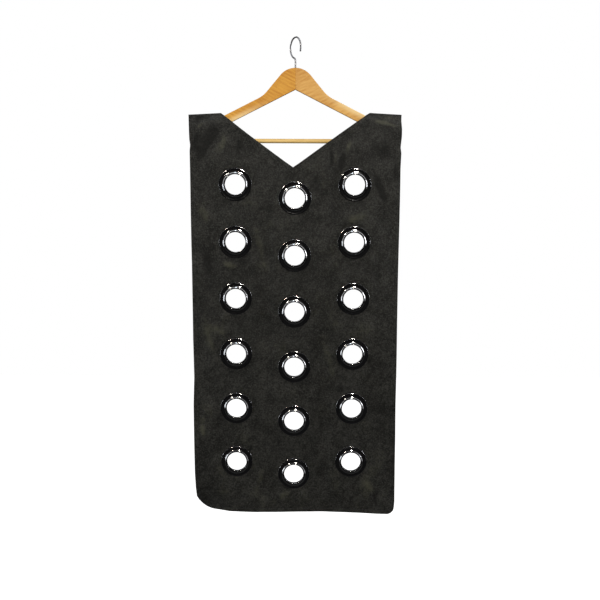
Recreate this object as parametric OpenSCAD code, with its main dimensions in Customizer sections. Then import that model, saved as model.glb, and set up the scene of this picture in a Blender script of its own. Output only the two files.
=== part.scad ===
// Scarf hanger: a leatherette cover with three columns of large eyelets, hung over
// the arms of a wooden clothes hanger. Millimetres. The front faces -Y, +Z is up, and
// the origin is the inside top of the hook, where it rests on its rail.

/* [Hook] */
// Thickness of the hook's wire
wire_d = 3.4; // [2.8:0.1:4.2]
// Inside radius of the hook's loop
hook_r = 20; // [16:0.5:26]
// Radius of the bend between the stem and the loop
hook_bend_r = 8; // [5:0.5:12]
// Angle left open at the hook's mouth
hook_mouth = 84; // [60:1:110]
// Direction that the hook points in, seen from above
hook_turn = 120; // [0:5:180]
// Straight stem that shows above the wood
stem_rise = 13; // [8:0.5:30]
// Depth of the stem's bore in the wood
stem_depth = 21; // [16:0.5:24]
// Width of the head that keeps the hook in the wood
head_d = 7; // [6:0.1:7.6]
// Height of that head
head_h = 2.2; // [1.5:0.1:3]

/* [Hanger] */
// Room between each tip of the hanger and the side of the cover
tip_room = 11.4; // [10.4:0.1:16]
// Thickness of the wood, front to back
wood_t = 12; // [11:0.5:14]
// Height of the wood at the middle joint
neck_h = 45.4; // [43:0.2:52]
// Height of an arm, measured square to it
arm_h = 19.2; // [16:0.2:22]
// Slope of the arms below the level
arm_slope = 26.6; // [24:0.2:29]
// Radius of the dome over the middle joint
dome_r = 42; // [38:1:46]
// Slope of the dome's flanks
flank_slope = 50; // [46:1:56]
// Radius of the hollow where a flank meets its arm
neck_blend_r = 60; // [45:1:75]
// Rounding of the wood's long edges
wood_round = 4; // [3:0.1:4.5]
// Rounding of the arm tips
tip_r = 9; // [7:0.5:11]
// Length of the foot at each tip, which holds the bar
foot_l = 22; // [18:0.5:28]
// Wood left under the bar at the foot
foot_wall = 3.6; // [2.5:0.1:6]
// Diameter of the dowel inside the middle joint
dowel_d = 6; // [5:0.1:6.5]
// Length of that dowel
dowel_l = 30; // [24:1:36]
// Diameter of the trouser bar
bar_d = 9.5; // [8:0.1:9.8]
// Drop from the underside of the middle joint to the bar's axis
bar_drop = 107.9; // [106:0.1:109]
// Depth of the bar's seat in each foot
bar_seat = 14; // [10:0.5:15]
// Diameter of the brad that holds each end of the bar
brad_d = 1.6; // [1.2:0.1:2]

/* [Cover] */
// Width of the cover
cover_w = 454.8; // [452:0.2:464]
// Height of the cover at its side edges
cover_h = 901; // [880:1:960]
// Distance from the middle to an inner shoulder corner
neck_half = 159.5; // [152:0.5:166]
// Depth of the neck opening below those corners
neck_depth = 115.6; // [108:0.1:122]
// Fall of the shoulder seam from its inner to its outer corner
shoulder_fall = 3.7; // [0:0.1:6]
// Thickness of the leatherette
face_t = 1; // [0.8:0.1:1.4]
// Thickness of the lining
lining_t = 0.6; // [0.5:0.1:1]
// Height of the stitched seam along the shoulder
seam_h = 5; // [4:0.1:6]
// Width of the stitched seam down the side of a shoulder pocket
side_seam = 4.4; // [3.5:0.1:4.8]
// Depth of a shoulder pocket at the side of the cover
pocket_depth = 68; // [66:0.5:80]
// Radius of the lower right corner
corner_r = 15; // [5:1:40]
// Radius of the lower left corner, which is rounder and curls back
curled_corner_r = 46; // [20:1:60]
// How far the lower left corner curls back
corner_curl = 12; // [0:0.5:16]
// Width and height of the region that curls
corner_zone = 80; // [70:1:90]
// Depth of the long folds between the columns of eyelets
fold_depth = 4; // [1:0.5:6]
// Length over which those folds swell and fade
fold_length = 860; // [600:10:1000]
// Depth of the waves along the two side edges
edge_wave = 5; // [1:0.5:7]
// Length of one of those waves
edge_length = 450; // [350:10:600]
// Depth of the waves along the bottom hem
hem_wave = 3; // [0:0.5:5]
// Length of one of those waves
hem_length = 280; // [200:10:400]

/* [Eyelets] */
// Clear diameter of an eyelet
eyelet_hole = 44; // [40:0.5:46]
// Outer diameter of an eyelet's front ring
ring_d = 71.6; // [69:0.2:73]
// Height of the front ring's rolled rim above the leatherette
ring_h = 2.4; // [2.1:0.1:2.6]
// Radius of that rim's roll
roll_r = 2.1; // [1.9:0.1:2.1]
// Height of the inner lip above the leatherette
lip_h = 4.4; // [4.2:0.1:5.5]
// Radius of the lip's roll
lip_r = 1.9; // [1.6:0.1:2.2]
// Radius of the barrel's end, rolled over the washer
flare_r = 0.9; // [0.8:0.1:1]
// Thickness of the sheet metal that the front ring and its barrel are pressed from
metal_t = 0.8; // [0.6:0.1:1]
// Outer diameter of a back washer
washer_d = 69; // [64:0.5:71]
// Thickness of a back washer
washer_t = 0.8; // [0.6:0.1:1]
// Distance between the columns of eyelets
column_pitch = 129.7; // [126:0.1:134]
// Height of the lowest middle eyelet above the hem
last_row = 97.3; // [97.3:0.1:110]
// Drop from the outer shoulder corner to the first side eyelet
first_row = 149.4; // [144:0.1:152]
// How much lower the middle column sits
centre_drop = 29.3; // [20:0.1:34]

/* [Clearances] */
// Gap round the hook's stem and head, so that it turns
swivel_gap = 0.05; // [0.02:0.01:0.1]
// Gap round the dowel, the bar ends and the brads
fit_gap = 0.05; // [0.02:0.01:0.1]
// Gap between the wood and the front of the cover, which hangs free of it
drape_gap = 1.8; // [1.6:0.1:3]
// Gap between the wood and the shoulder pockets behind it
pocket_gap = 0.8; // [0.5:0.1:1]
// Height from an arm's top edge to the shoulder seam at the seam's inner end
seam_lift = 2.2; // [2.2:0.1:3]

/* [Hidden] */
SIDES = ["left", "centre", "right"];
ROWS = 6;
$fn = 96;
nothing = 0.01;
// The cover's mesh is this much larger than its outline, which trims it
trim = 2;
// Colours as the finished object shows them
wood_colour = [0.86, 0.64, 0.32];
steel_colour = [0.75, 0.75, 0.77];
leather_colour = [0.15, 0.15, 0.15];
lining_colour = [0.09, 0.09, 0.1];
nickel_colour = [0.22, 0.22, 0.24];

// Heights on the hook and the wood, from the rail down
loop_r = hook_r + wire_d / 2;
loop_z = -hook_r;
bend_reach = sqrt(pow(loop_r + hook_bend_r, 2) - pow(hook_bend_r, 2));
bend_z = loop_z - bend_reach;
wood_top_z = bend_z - stem_rise;
apex_z = wood_top_z - neck_h;
head_top_z = wood_top_z - stem_depth;
cavity_h = head_h + 1.8;
dowel_z = (head_top_z - cavity_h + apex_z) / 2;
bar_z = apex_z - bar_drop;

// The hanger's outline, as heights over the distance from the middle
tip_x = cover_w / 2 - tip_room;
arm_rise = arm_h / cos(arm_slope);
flank_x = dome_r * sin(flank_slope);
flank_z = wood_top_z - dome_r * (1 - cos(flank_slope));
meet_x = (flank_z + flank_x * tan(flank_slope) - apex_z - arm_rise)
    / (tan(flank_slope) - tan(arm_slope));
meet_z = arm_line(meet_x) + arm_rise;
blend_reach = neck_blend_r * tan((flank_slope - arm_slope) / 2);
blend_in_x = meet_x - blend_reach * cos(flank_slope);
blend_out_x = meet_x + blend_reach * cos(arm_slope);
blend_x = blend_in_x + neck_blend_r * sin(flank_slope);
blend_z = meet_z + blend_reach * sin(flank_slope) + neck_blend_r * cos(flank_slope);
foot_x = tip_x - foot_l;
foot_z = bar_z - bar_d / 2 - foot_wall;
seat_end_x = foot_x + bar_seat;
brad_x = foot_x + bar_seat / 2;

// The cover's layers, measured back from the hanger's middle plane
stack_t = face_t + lining_t;
face_y = -wood_t / 2 - drape_gap - stack_t;
pocket_y = wood_t / 2 + pocket_gap;
reach_y = wood_t + 2 * corner_curl + fold_depth;
seam_y = -stack_t - face_t / 2;
cover_half = cover_w / 2;
neck_slope = neck_depth / neck_half;
seam_in_x = neck_half - seam_h / neck_slope;
corner_z = arm_top(seam_in_x) + seam_lift + seam_h;
shoulder_z = corner_z - shoulder_fall;
neck_z = corner_z - neck_depth;
hem_z = shoulder_z - cover_h;
pocket_z = shoulder_z - pocket_depth;
// The shoulder leans back from where an arm's top edge rounds off, up to the seam
lean_in_x = seam_in_x - 6;

// The eyelets' places and radii
bore_r = eyelet_hole / 2;
barrel_r = bore_r + metal_t;
cloth_hole_r = barrel_r + 0.4;
lip_x = bore_r + lip_r;
lip_z = lip_h - lip_r;
roll_x = ring_d / 2 - roll_r;
roll_z = ring_h - roll_r;
flat_half = ring_d / 2 + 0.2;
row_z = shoulder_z - first_row;
row_pitch = (row_z - centre_drop - hem_z - last_row) / (ROWS - 1);

function eyelet_name(kind, c, r) = str(kind, "_", SIDES[c], "_", r);
function eyelet_x(c) = (c - 1) * column_pitch;
function eyelet_z(c, r) = row_z - (r - 1) * row_pitch - (c == 1 ? centre_drop : 0);

// Underside and top edge of an arm at the distance x from the middle
function arm_line(x) = apex_z - x * tan(arm_slope);
function arm_top(x) = arm_line(x) + arm_rise;

// Smooth step from 0 to 1 as v goes from a to b
function smooth(v, a, b) =
    let (t = min(1, max(0, (v - a) / (b - a)))) t * t * (3 - 2 * t);

// Top edge of the wood: dome, flank, hollow and straight arm
function wood_top(x) =
    x < flank_x ? wood_top_z - dome_r + sqrt(dome_r * dome_r - x * x)
    : x < blend_in_x ? flank_z - (x - flank_x) * tan(flank_slope)
    : x < blend_out_x ? blend_z - sqrt(pow(neck_blend_r, 2) - pow(x - blend_x, 2))
    : arm_top(x);

// Underside of the wood: straight, with the foot's step near the tip
function wood_under(x) =
    let (step = smooth(x, foot_x - 3, foot_x + 3))
    arm_line(x) * (1 - step) + foot_z * step;

// How much of its height and thickness an arm keeps at x, where its tip rounds off
function tip_left(x, r) =
    x < tip_x - r ? 1 : sqrt(max(0, 1 - pow((x - tip_x + r) / r, 2)));

// A section across an arm at x: a rectangle with rounded corners
function arm_section(x) =
    let (
        high = wood_top(x),
        low = wood_under(x),
        drop = tip_r * (1 - tip_left(x, tip_r)),
        half_y = max(nothing, wood_t / 2 * tip_left(x, wood_t / 2)),
        top = high - min(drop, (high - low) / 2 - nothing),
        under = low + min(drop, (high - low) / 2 - nothing),
        half_z = (top - under) / 2,
        r = min(wood_round, half_y * 0.8, half_z * 0.8)
    )
    [for (k = [0:3], a = [0, 30, 60, 90])
        [
            x,
            (k == 0 || k == 3 ? 1 : -1) * (half_y - r) + r * cos(a + 90 * k),
            (top + under) / 2 + (k < 2 ? 1 : -1) * (half_z - r) + r * sin(a + 90 * k)
        ]];

// Distances from the middle at which an arm has a section
dome_steps = [for (k = [0:5]) dome_r * sin(flank_slope * k / 5)];
blend_steps = [for (k = [0:5]) blend_in_x + (blend_out_x - blend_in_x) * k / 5];
foot_steps = [for (k = [0:4]) foot_x - 3 + 6 * k / 4];
tip_steps = [for (a = [0:15:90]) tip_x - tip_r + tip_r * sin(a) - (a == 90 ? 0.02 : 0)];
arm_steps = concat(dome_steps, blend_steps, [(blend_out_x + foot_x) / 2], foot_steps, tip_steps);

// A closed solid through a list of sections with the same number of points
module loft(sections) {
    n = len(sections[0]);
    last = len(sections) - 1;
    points = [for (s = sections) each s];
    sides = [for (i = [0:last - 1], k = [0:n - 1])
        let (a = i * n + k, b = i * n + (k + 1) % n)
        each [[a, a + n, b], [b, a + n, b + n]]];
    ends = [[for (k = [0:n - 1]) k], [for (k = [n - 1:-1:0]) last * n + k]];
    polyhedron(points, concat(sides, ends));
}

module arm_body() {
    loft([for (x = arm_steps) arm_section(x)]);
}

// Round stock along X from x0 to x1
module rod_x(x0, x1, d, z) {
    translate([x0, 0, z]) rotate([0, 90, 0]) cylinder(h = x1 - x0, d = d);
}

// The hollow that the hook's stem and head turn in
module swivel_hollow() {
    translate([0, 0, head_top_z - nothing])
        cylinder(h = stem_depth + 5, r = wire_d / 2 + swivel_gap);
    translate([0, 0, head_top_z - cavity_h])
        cylinder(h = cavity_h + swivel_gap, r = head_d / 2 + 4 * swivel_gap);
}

// Brad, driven in from the back through the foot and into the bar
module brad_shape(gap, extra) {
    translate([brad_x, wood_t / 2 + extra, bar_z]) rotate([90, 0, 0])
        cylinder(h = wood_t * 0.75 + extra + gap, r = brad_d / 2 + gap);
}

module hanger_arm() {
    color(wood_colour) difference() {
        arm_body();
        swivel_hollow();
        rod_x(-1, dowel_l / 2 + 0.5, dowel_d + 2 * fit_gap, dowel_z);
        rod_x(foot_x - 6, seat_end_x + 0.5, bar_d + 2 * fit_gap, bar_z);
        brad_shape(fit_gap, 1);
    }
}

module joint_dowel() {
    color(wood_colour) rod_x(-dowel_l / 2, dowel_l / 2, dowel_d, dowel_z);
}

module trouser_bar() {
    color(wood_colour) difference() {
        rod_x(-seat_end_x, seat_end_x, bar_d, bar_z);
        brad_shape(fit_gap, 1);
        mirror([1, 0, 0]) brad_shape(fit_gap, 1);
    }
}

module bar_pin() {
    color(steel_colour) brad_shape(0, 0);
}

// Angles where the bend meets the loop and where the loop ends, seen square to the hook
bend_end = atan2(bend_reach, -hook_bend_r);
mouth_end = bend_end + 180 - hook_mouth;
bend_steps = 5;
loop_steps = 30;
tip_rounds = 3;
// The bent wire starts this far down inside the stem, a touch thinner
wire_lap = 1;
wire_thin = 0.02;

// Points along the middle of the wire: [distance out, height, heading, radius]
wire_path = concat(
    [[0, bend_z - wire_lap, 90, wire_d / 2 - wire_thin]],
    [for (k = [0:bend_steps])
        let (a = 180 + (bend_end - 180) * k / bend_steps)
        [hook_bend_r * (1 + cos(a)), bend_z + hook_bend_r * sin(a), a - 90, wire_d / 2]],
    [for (k = [1:loop_steps])
        let (a = bend_end - 180 + (mouth_end - bend_end + 180) * k / loop_steps)
        [loop_r * cos(a), loop_z + loop_r * sin(a), a + 90, wire_d / 2]],
    [for (k = [1:tip_rounds])
        let (a = mouth_end + 90, b = 80 * k / tip_rounds, s = wire_d / 2 * sin(b))
        [
            loop_r * cos(mouth_end) + s * cos(a),
            loop_z + loop_r * sin(mouth_end) + s * sin(a),
            a,
            wire_d / 2 * cos(b)
        ]]
);

// Wire hook that turns in the wood on its headed stem
module hook() {
    sections = [for (p = wire_path) [for (t = [0:30:330])
        [
            p[0] - p[3] * cos(t) * sin(p[2]),
            -p[3] * sin(t),
            p[1] + p[3] * cos(t) * cos(p[2])
        ]]];
    color(steel_colour) rotate([0, 0, hook_turn]) union() {
        loft(sections);
        translate([0, 0, head_top_z - head_h / 2])
            cylinder(h = bend_z - wire_lap / 2 - head_top_z + head_h / 2, d = wire_d);
        translate([0, 0, head_top_z - head_h]) cylinder(h = head_h, d = head_d);
    }
}

// Height of the shoulder seam's top edge at the distance x from the middle
function shoulder_top(x) =
    corner_z - shoulder_fall * max(0, (x - neck_half) / (cover_half - neck_half));

// Heights at x between which the shoulder leans back
function lean_low(x) = arm_top(max(x, lean_in_x)) - wood_round;
function lean_high(x) =
    x < seam_in_x ? arm_top(max(x, lean_in_x)) + seam_lift : shoulder_top(x) - seam_h;

// How far the shoulder has leaned back at x and z: 0 on the arm, 1 at the seam
function lean(x, z) =
    let (t = min(1, max(0, (z - lean_low(x)) / (lean_high(x) - lean_low(x)))))
    t * t;

// Distances from the middle between which the cover folds, and where its edge waves start
mid_out = column_pitch - flat_half;
edge_in = column_pitch + flat_half;
last_flat = eyelet_z(1, ROWS) - flat_half;
// Least height between two rows of the cover's mesh under the shoulder pockets
row_gap = 10;
// Height of the hem's waves, below the lowest eyelet
hem_zone = last_flat - hem_z;

// Long folds between the columns, waves at the edges and the hem, and the curled corner
function folds(x, z) =
    let (
        d = abs(x),
        side = x < 0 ? -1 : 1,
        down = smooth(-z, -pocket_z + row_gap, -row_z + column_pitch / 2),
        across = min(1, max(0, (d - flat_half) / (mid_out - flat_half))),
        between = pow(sin(180 * across), 2),
        outside = smooth(d, edge_in, cover_half + corner_r),
        low = smooth(-z, -hem_z - hem_zone, -hem_z),
        corner = max(0, -x - (cover_half - corner_zone)) / corner_zone
            * max(0, hem_z + hem_zone - z) / hem_zone
    )
    down * between * fold_depth * (0.4 + 0.6 * sin(360 * z / fold_length + side * 70))
    + down * outside * edge_wave * sin(360 * z / edge_length + side * 110)
    + low * hem_wave * sin(360 * x / hem_length + 20)
    + corner * corner_curl * 2;

// Front surface of the cover at x and z
function front_y(x, z) = face_y + (seam_y - face_y) * lean(abs(x), z) + folds(x, z);

// Distances from the middle at which the cover's mesh has a line
half_lines = concat(
    [for (k = [0:3]) flat_half + (mid_out - flat_half) * k / 4],
    [mid_out, lean_in_x, seam_in_x],
    [for (k = [0:4]) edge_in + (cover_half - side_seam - edge_in) * k / 4],
    [cover_half + trim]
);
cover_lines = concat([for (k = [len(half_lines) - 1:-1:0]) -half_lines[k]], half_lines);

// Heights of the mesh's rows at x: along the shoulder, then level down to the hem
lean_steps = [1, 0.7, 0.4, 0];
low_rows = 13;
first_flat = row_z + flat_half;
function row_heights(x) =
    let (high = lean_high(abs(x)), low = lean_low(abs(x)))
    concat(
        [corner_z + trim],
        [for (t = lean_steps) low + (high - low) * t],
        [(low + pocket_z - row_gap) / 2, pocket_z - row_gap],
        [for (k = [0:low_rows]) first_flat + (last_flat - first_flat) * k / low_rows],
        [(last_flat + hem_z) / 2, hem_z - trim]
    );

// Two triangles of a sheet's cell, split along one diagonal or the other
function cell(a, h, turned) =
    turned ? [[a, a + h, a + h + 1], [a, a + h + 1, a + 1]]
    : [[a, a + h, a + 1], [a + 1, a + h, a + h + 1]];

// A sheet between two surfaces over the same lines and rows, whose cells on the lines
// before the turned one are split as in a mirror
module sheet(lines, rows, front, back, turned = 0) {
    w = len(lines);
    h = len(rows[0]);
    n = w * h;
    points = concat(front, back);
    skins = [for (i = [0:w - 2], j = [0:h - 2], f = cell(i * h + j, h, i < turned)) each [
        f, [n + f[0], n + f[2], n + f[1]]
    ]];
    ends = [for (i = [0:w - 2]) let (a = i * h, b = a + h - 1) each [
        [a, n + a, a + h], [a + h, n + a, n + a + h],
        [b, b + h, n + b], [b + h, n + b + h, n + b]
    ]];
    sides = [for (j = [0:h - 2]) let (a = j, b = n - h + j) each [
        [a, a + 1, n + a], [a + 1, n + a + 1, n + a],
        [b, n + b, b + 1], [b + 1, n + b, n + b + 1]
    ]];
    polyhedron(points, concat(skins, ends, sides));
}

// One layer of the cover, from one depth behind its front surface to another
module cover_layer(from, to) {
    rows = [for (x = cover_lines) row_heights(x)];
    grid = [for (i = [0:len(cover_lines) - 1], z = rows[i]) [cover_lines[i], z]];
    sheet(
        cover_lines,
        rows,
        [for (g = grid) [g[0], front_y(g[0], g[1]) + from, g[1]]],
        [for (g = grid) [g[0], front_y(g[0], g[1]) + to, g[1]]],
        len(half_lines) - 1
    );
}

// What a rounded lower right corner of radius r leaves out of the square one
module corner_waste(r) {
    translate([cover_half - r, hem_z + r]) difference() {
        translate([0, -r - trim]) square([r + trim, r + trim]);
        circle(r = r);
    }
}

// Outline of the cover in the XZ plane
module cover_outline() {
    difference() {
        polygon([
            [-neck_half, corner_z], [0, neck_z], [neck_half, corner_z],
            [cover_half, shoulder_z], [cover_half, hem_z],
            [-cover_half, hem_z], [-cover_half, shoulder_z]
        ]);
        corner_waste(corner_r);
        mirror([1, 0]) corner_waste(curled_corner_r);
    }
}

// The outline as a prism, deep enough for every layer
module outline_prism() {
    translate([0, reach_y, 0]) rotate([90, 0, 0])
        linear_extrude(height = 2 * reach_y) cover_outline();
}

module cloth_holes() {
    for (c = [0:2], r = [1:ROWS])
        translate([eyelet_x(c), reach_y, eyelet_z(c, r)]) rotate([90, 0, 0])
            cylinder(h = 2 * reach_y, r = cloth_hole_r);
}

module panel_front() {
    color(leather_colour) difference() {
        intersection() {
            cover_layer(0, face_t);
            outline_prism();
        }
        cloth_holes();
    }
}

module panel_lining() {
    color(lining_colour) difference() {
        intersection() {
            cover_layer(face_t, stack_t);
            outline_prism();
        }
        cloth_holes();
    }
}

// Room between the lining and a shoulder pocket: full over the arm, none at the seams
pocket_start = tip_x - wood_t / 2 - 1;
pocket_end = cover_half - side_seam;
function pocket_room(x, z) =
    let (t = min(1, max(0, (x - pocket_start) / (pocket_end - pocket_start))))
    (pocket_y - face_y - stack_t) * (1 - lean(x, z)) * (1 - t * t);

// Inner surface of a pocket, and the direction square to it
function pocket_inner_y(x, z) = front_y(x, z) + stack_t + pocket_room(x, z);
function pocket_normal(x, z) =
    let (
        e = 0.5,
        slope_x = (pocket_inner_y(x + e, z) - pocket_inner_y(x - e, z)) / (2 * e),
        slope_z = (pocket_inner_y(x, z + e) - pocket_inner_y(x, z - e)) / (2 * e)
    )
    [-slope_x, 1, -slope_z] / norm([slope_x, 1, slope_z]);

pocket_lines = concat(
    [neck_half / 4, neck_half * 0.6, lean_in_x, seam_in_x],
    [for (t = [1:2]) seam_in_x + (pocket_start - seam_in_x) * t / 3],
    [for (t = [0:6]) pocket_start + (pocket_end - pocket_start) * t / 6],
    [cover_half + trim]
);

// Back piece of a shoulder, sewn to the cover along the shoulder and the side
module shoulder_pocket() {
    rows = [for (x = pocket_lines)
        let (high = lean_high(x), low = lean_low(x))
        concat([corner_z + trim], [for (t = lean_steps) low + (high - low) * t], [pocket_z])];
    grid = [for (i = [0:len(pocket_lines) - 1], z = rows[i]) [pocket_lines[i], z]];
    inner = [for (g = grid) [g[0], pocket_inner_y(g[0], g[1]), g[1]]];
    outer = [for (p = inner) p + face_t * pocket_normal(p[0], p[2])];
    color(leather_colour) intersection() {
        sheet(pocket_lines, rows, inner, outer);
        outline_prism();
    }
}

// Points along an arc
function arc(centre, r, from, to, steps) = [for (k = [0:steps])
    let (a = from + (to - from) * k / steps) centre + r * [cos(a), sin(a)]];

// Section of the front ring: from the bore over the lip's roll, down the funnel and over
// the rolled rim, back inside them to the barrel, and round the barrel's rolled end
module ring_section() {
    back = stack_t + washer_t;
    lip = [lip_x, lip_z];
    roll = [roll_x, roll_z];
    in_r = roll_r - metal_t;
    barrel_turn = asin((flare_r - metal_t) / flare_r);
    polygon(concat(
        arc(lip, lip_r, 180, 20, 10),
        arc(roll, roll_r, 160, -asin(roll_z / roll_r), 12),
        arc(roll, in_r, -asin(roll_z / in_r), 180 + asin(roll_z / in_r), 10),
        [[roll_x - roll_r, 0], [roll_x - roll_r, metal_t / 3]],
        arc(lip, lip_r, -10, acos((lip_x - barrel_r) / lip_r) - 180, 5),
        arc([bore_r + flare_r, -back - flare_r], flare_r, 90 + barrel_turn, -180, 12)
    ));
}

// Front ring: lip, funnel, rolled rim and barrel with its end rolled over the washer
module eyelet_ring() {
    color(nickel_colour) rotate([90, 0, 0]) rotate_extrude() ring_section();
}

// Back washer, dished and clamped by the rolled end of the barrel
module eyelet_washer() {
    inside = barrel_r + fit_gap;
    outside = washer_d / 2;
    color(nickel_colour) rotate([90, 0, 0]) rotate_extrude() polygon([
        [inside, -stack_t], [outside, -stack_t], [outside, -stack_t - washer_t * 0.4],
        [outside - washer_t, -stack_t - washer_t], [inside, -stack_t - washer_t]
    ]);
}

hook();
mirror([1, 0, 0]) hanger_arm();  // hanger_arm_left
hanger_arm();  // hanger_arm_right
joint_dowel();
trouser_bar();
mirror([1, 0, 0]) bar_pin();  // bar_pin_left
bar_pin();  // bar_pin_right
panel_front();
panel_lining();
mirror([1, 0, 0]) shoulder_pocket();  // shoulder_pocket_left
shoulder_pocket();  // shoulder_pocket_right
for (c = [0:2], r = [1:ROWS]) {
    translate([eyelet_x(c), face_y, eyelet_z(c, r)]) eyelet_ring();
    translate([eyelet_x(c), face_y, eyelet_z(c, r)]) eyelet_washer();
}
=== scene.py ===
# %% [markdown]
# # Scarf hanger
# A black leatherette cover hangs over the arms of a wooden clothes hanger. Eighteen large
# eyelets go through it, for what is threaded through them. This script dresses the packed model:
# it makes the cloth, the wood, the wire and the pressed metal as finished meshes, gives each a
# material, and lights and frames them. Lengths are in metres. The front faces -Y.

# %% Load the packed model
import math
import bmesh
import bpy
import numpy as np
from mathutils import Matrix, Vector, noise
from mathutils.geometry import interpolate_bezier


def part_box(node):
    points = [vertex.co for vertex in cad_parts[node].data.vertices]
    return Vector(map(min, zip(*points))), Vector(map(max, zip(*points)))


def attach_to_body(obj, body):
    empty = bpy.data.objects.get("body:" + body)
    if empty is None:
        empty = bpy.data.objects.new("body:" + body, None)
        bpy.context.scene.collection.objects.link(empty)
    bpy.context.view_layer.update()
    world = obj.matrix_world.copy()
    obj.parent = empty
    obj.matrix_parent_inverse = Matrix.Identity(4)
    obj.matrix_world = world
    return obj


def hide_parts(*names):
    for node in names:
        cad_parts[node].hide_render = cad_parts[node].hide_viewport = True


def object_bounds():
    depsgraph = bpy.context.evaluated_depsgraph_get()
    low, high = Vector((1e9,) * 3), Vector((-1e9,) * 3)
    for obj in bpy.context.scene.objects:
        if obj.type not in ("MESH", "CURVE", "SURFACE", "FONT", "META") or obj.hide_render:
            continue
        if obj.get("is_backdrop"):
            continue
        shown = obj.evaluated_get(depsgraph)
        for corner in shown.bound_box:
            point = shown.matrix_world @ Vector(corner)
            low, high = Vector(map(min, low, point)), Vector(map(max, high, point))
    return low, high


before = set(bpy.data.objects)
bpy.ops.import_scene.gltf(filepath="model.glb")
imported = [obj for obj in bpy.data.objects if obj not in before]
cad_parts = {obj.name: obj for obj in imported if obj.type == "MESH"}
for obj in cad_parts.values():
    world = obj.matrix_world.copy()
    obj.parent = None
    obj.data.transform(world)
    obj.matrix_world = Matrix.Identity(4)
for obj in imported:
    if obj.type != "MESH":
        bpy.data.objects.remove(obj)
MM = 0.001
packed_low, packed_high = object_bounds()
print("packed box", [round(v / MM) for v in packed_low], [round(v / MM) for v in packed_high])

# %% [markdown]
# ## Places and sizes
# Every new piece has to sit where the packed one sits. So places are read from the boxes of the
# packed nodes, and only what a box can't tell, such as a slope or a radius, is written here.

# %% Places read from the packed model
SIDES = ["left", "centre", "right"]
ROWS = range(1, 7)


def middle(node):
    """Middle of a packed node's box."""
    low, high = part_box(node)
    return (low + high) / 2


eyelets = {(side, row): middle(f"eyelet_{side}_{row}") for side in SIDES for row in ROWS}
cover_low, cover_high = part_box("panel_front")
hook_low, hook_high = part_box("hook")
arm_low, arm_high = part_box("hanger_arm_right")
bar_low, bar_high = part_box("trouser_bar")
cover_half = cover_high.x
corner_z = cover_high.z
hem_z = cover_low.z
column_pitch = eyelets["right", 1].x
row_z = eyelets["right", 1].z
last_row_z = eyelets["centre", 6].z
print(f"cover {2 * cover_half / MM:.1f} mm wide, {(corner_z - hem_z) / MM:.1f} mm high")

# %% Sizes of the cover
FACE_T = 1.0 * MM            # leatherette
LINING_T = 0.6 * MM          # backing cloth
STACK_T = FACE_T + LINING_T
face_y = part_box("washer_left_1")[0].y - STACK_T
NECK_HALF = 159.5 * MM       # from the middle to an inner shoulder corner
NECK_DEPTH = 115.6 * MM
SHOULDER_FALL = 3.7 * MM
SEAM_H = 5 * MM              # stitched seam along a shoulder
SIDE_SEAM = 4.4 * MM         # stitched seam down a pocket's side
SEAM_LIFT = 2.2 * MM         # from an arm's top edge to the seam's inner end
POCKET_DEPTH = 68 * MM
POCKET_Y = arm_high.y + 0.8 * MM
RIGHT_CORNER_R = 15 * MM
LEFT_CORNER_R = 46 * MM
RING_R = 35.8 * MM           # outer radius of an eyelet's ring
FLAT_R = RING_R + 0.2 * MM   # the cloth is flat this far round an eyelet
HEM_W = 9 * MM               # from the edge to the row of stitches

neck_slope = NECK_DEPTH / NECK_HALF
neck_angle = math.atan(neck_slope)
neck_z = corner_z - NECK_DEPTH
shoulder_z = corner_z - SHOULDER_FALL
pocket_z = shoulder_z - POCKET_DEPTH
seam_y = -STACK_T - FACE_T / 2
seam_in_x = NECK_HALF - SEAM_H / neck_slope
print(f"neck tip at {neck_z / MM:.1f}, pockets down to {pocket_z / MM:.1f}, front at {face_y / MM:.1f}")

# %% Sizes of the hanger
ARM_SLOPE = math.radians(26.6)
ARM_H = 19.2 * MM
NECK_H = 45.4 * MM           # wood at the middle joint
DOME_R = 42 * MM
FLANK_SLOPE = math.radians(50)
BLEND_R = 60 * MM            # hollow between the dome's flank and the straight arm
WOOD_ROUND = 4 * MM
TIP_R = 9 * MM
FOOT_L = 22 * MM             # foot at an arm's tip, which holds the bar
FOOT_STEP = 3 * MM           # half the length of the step up to the foot
arm_rise = ARM_H / math.cos(ARM_SLOPE)
wood_top_z = arm_high.z
apex_z = wood_top_z - NECK_H
foot_z = arm_low.z
tip_x = arm_high.x
foot_x = tip_x - FOOT_L


def arm_line(x):
    """Height of an arm's underside at the distance x from the middle."""
    return apex_z - x * math.tan(ARM_SLOPE)


def arm_top(x):
    """Height of an arm's top edge at the distance x from the middle."""
    return arm_line(x) + arm_rise


print(f"arms reach {tip_x / MM:.1f} mm out, {2 * arm_high.y / MM:.1f} mm thick")

# %% [markdown]
# ## The hanging cloth as a function
# The cover isn't a flat board. At the shoulders it leans back over the arms to its seam. Between
# the columns of eyelets it falls in long soft folds, its sides wave, and its hem ripples. The
# packed solids already follow such a function, which is repeated here. A function of two numbers
# is the best tool for it, because the front, the lining, the pockets and each stitch can ask it
# where the cloth is, and then they can't come apart. A cloth simulation would give each layer its
# own folds, and marks couldn't be put where the real cover has them.

# %% Smooth steps
def smooth(value, start, end):
    """Smooth step from 0 to 1 as value goes from start to end."""
    t = np.clip((value - start) / (end - start), 0, 1)
    return t * t * (3 - 2 * t)


def slid(a, b, t):
    """The value that lies the share t of the way from a to b."""
    return a + (b - a) * t


print("a smooth step from 0 to 1 at 0.25:", round(float(smooth(0.25, 0, 1)), 3))

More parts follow.
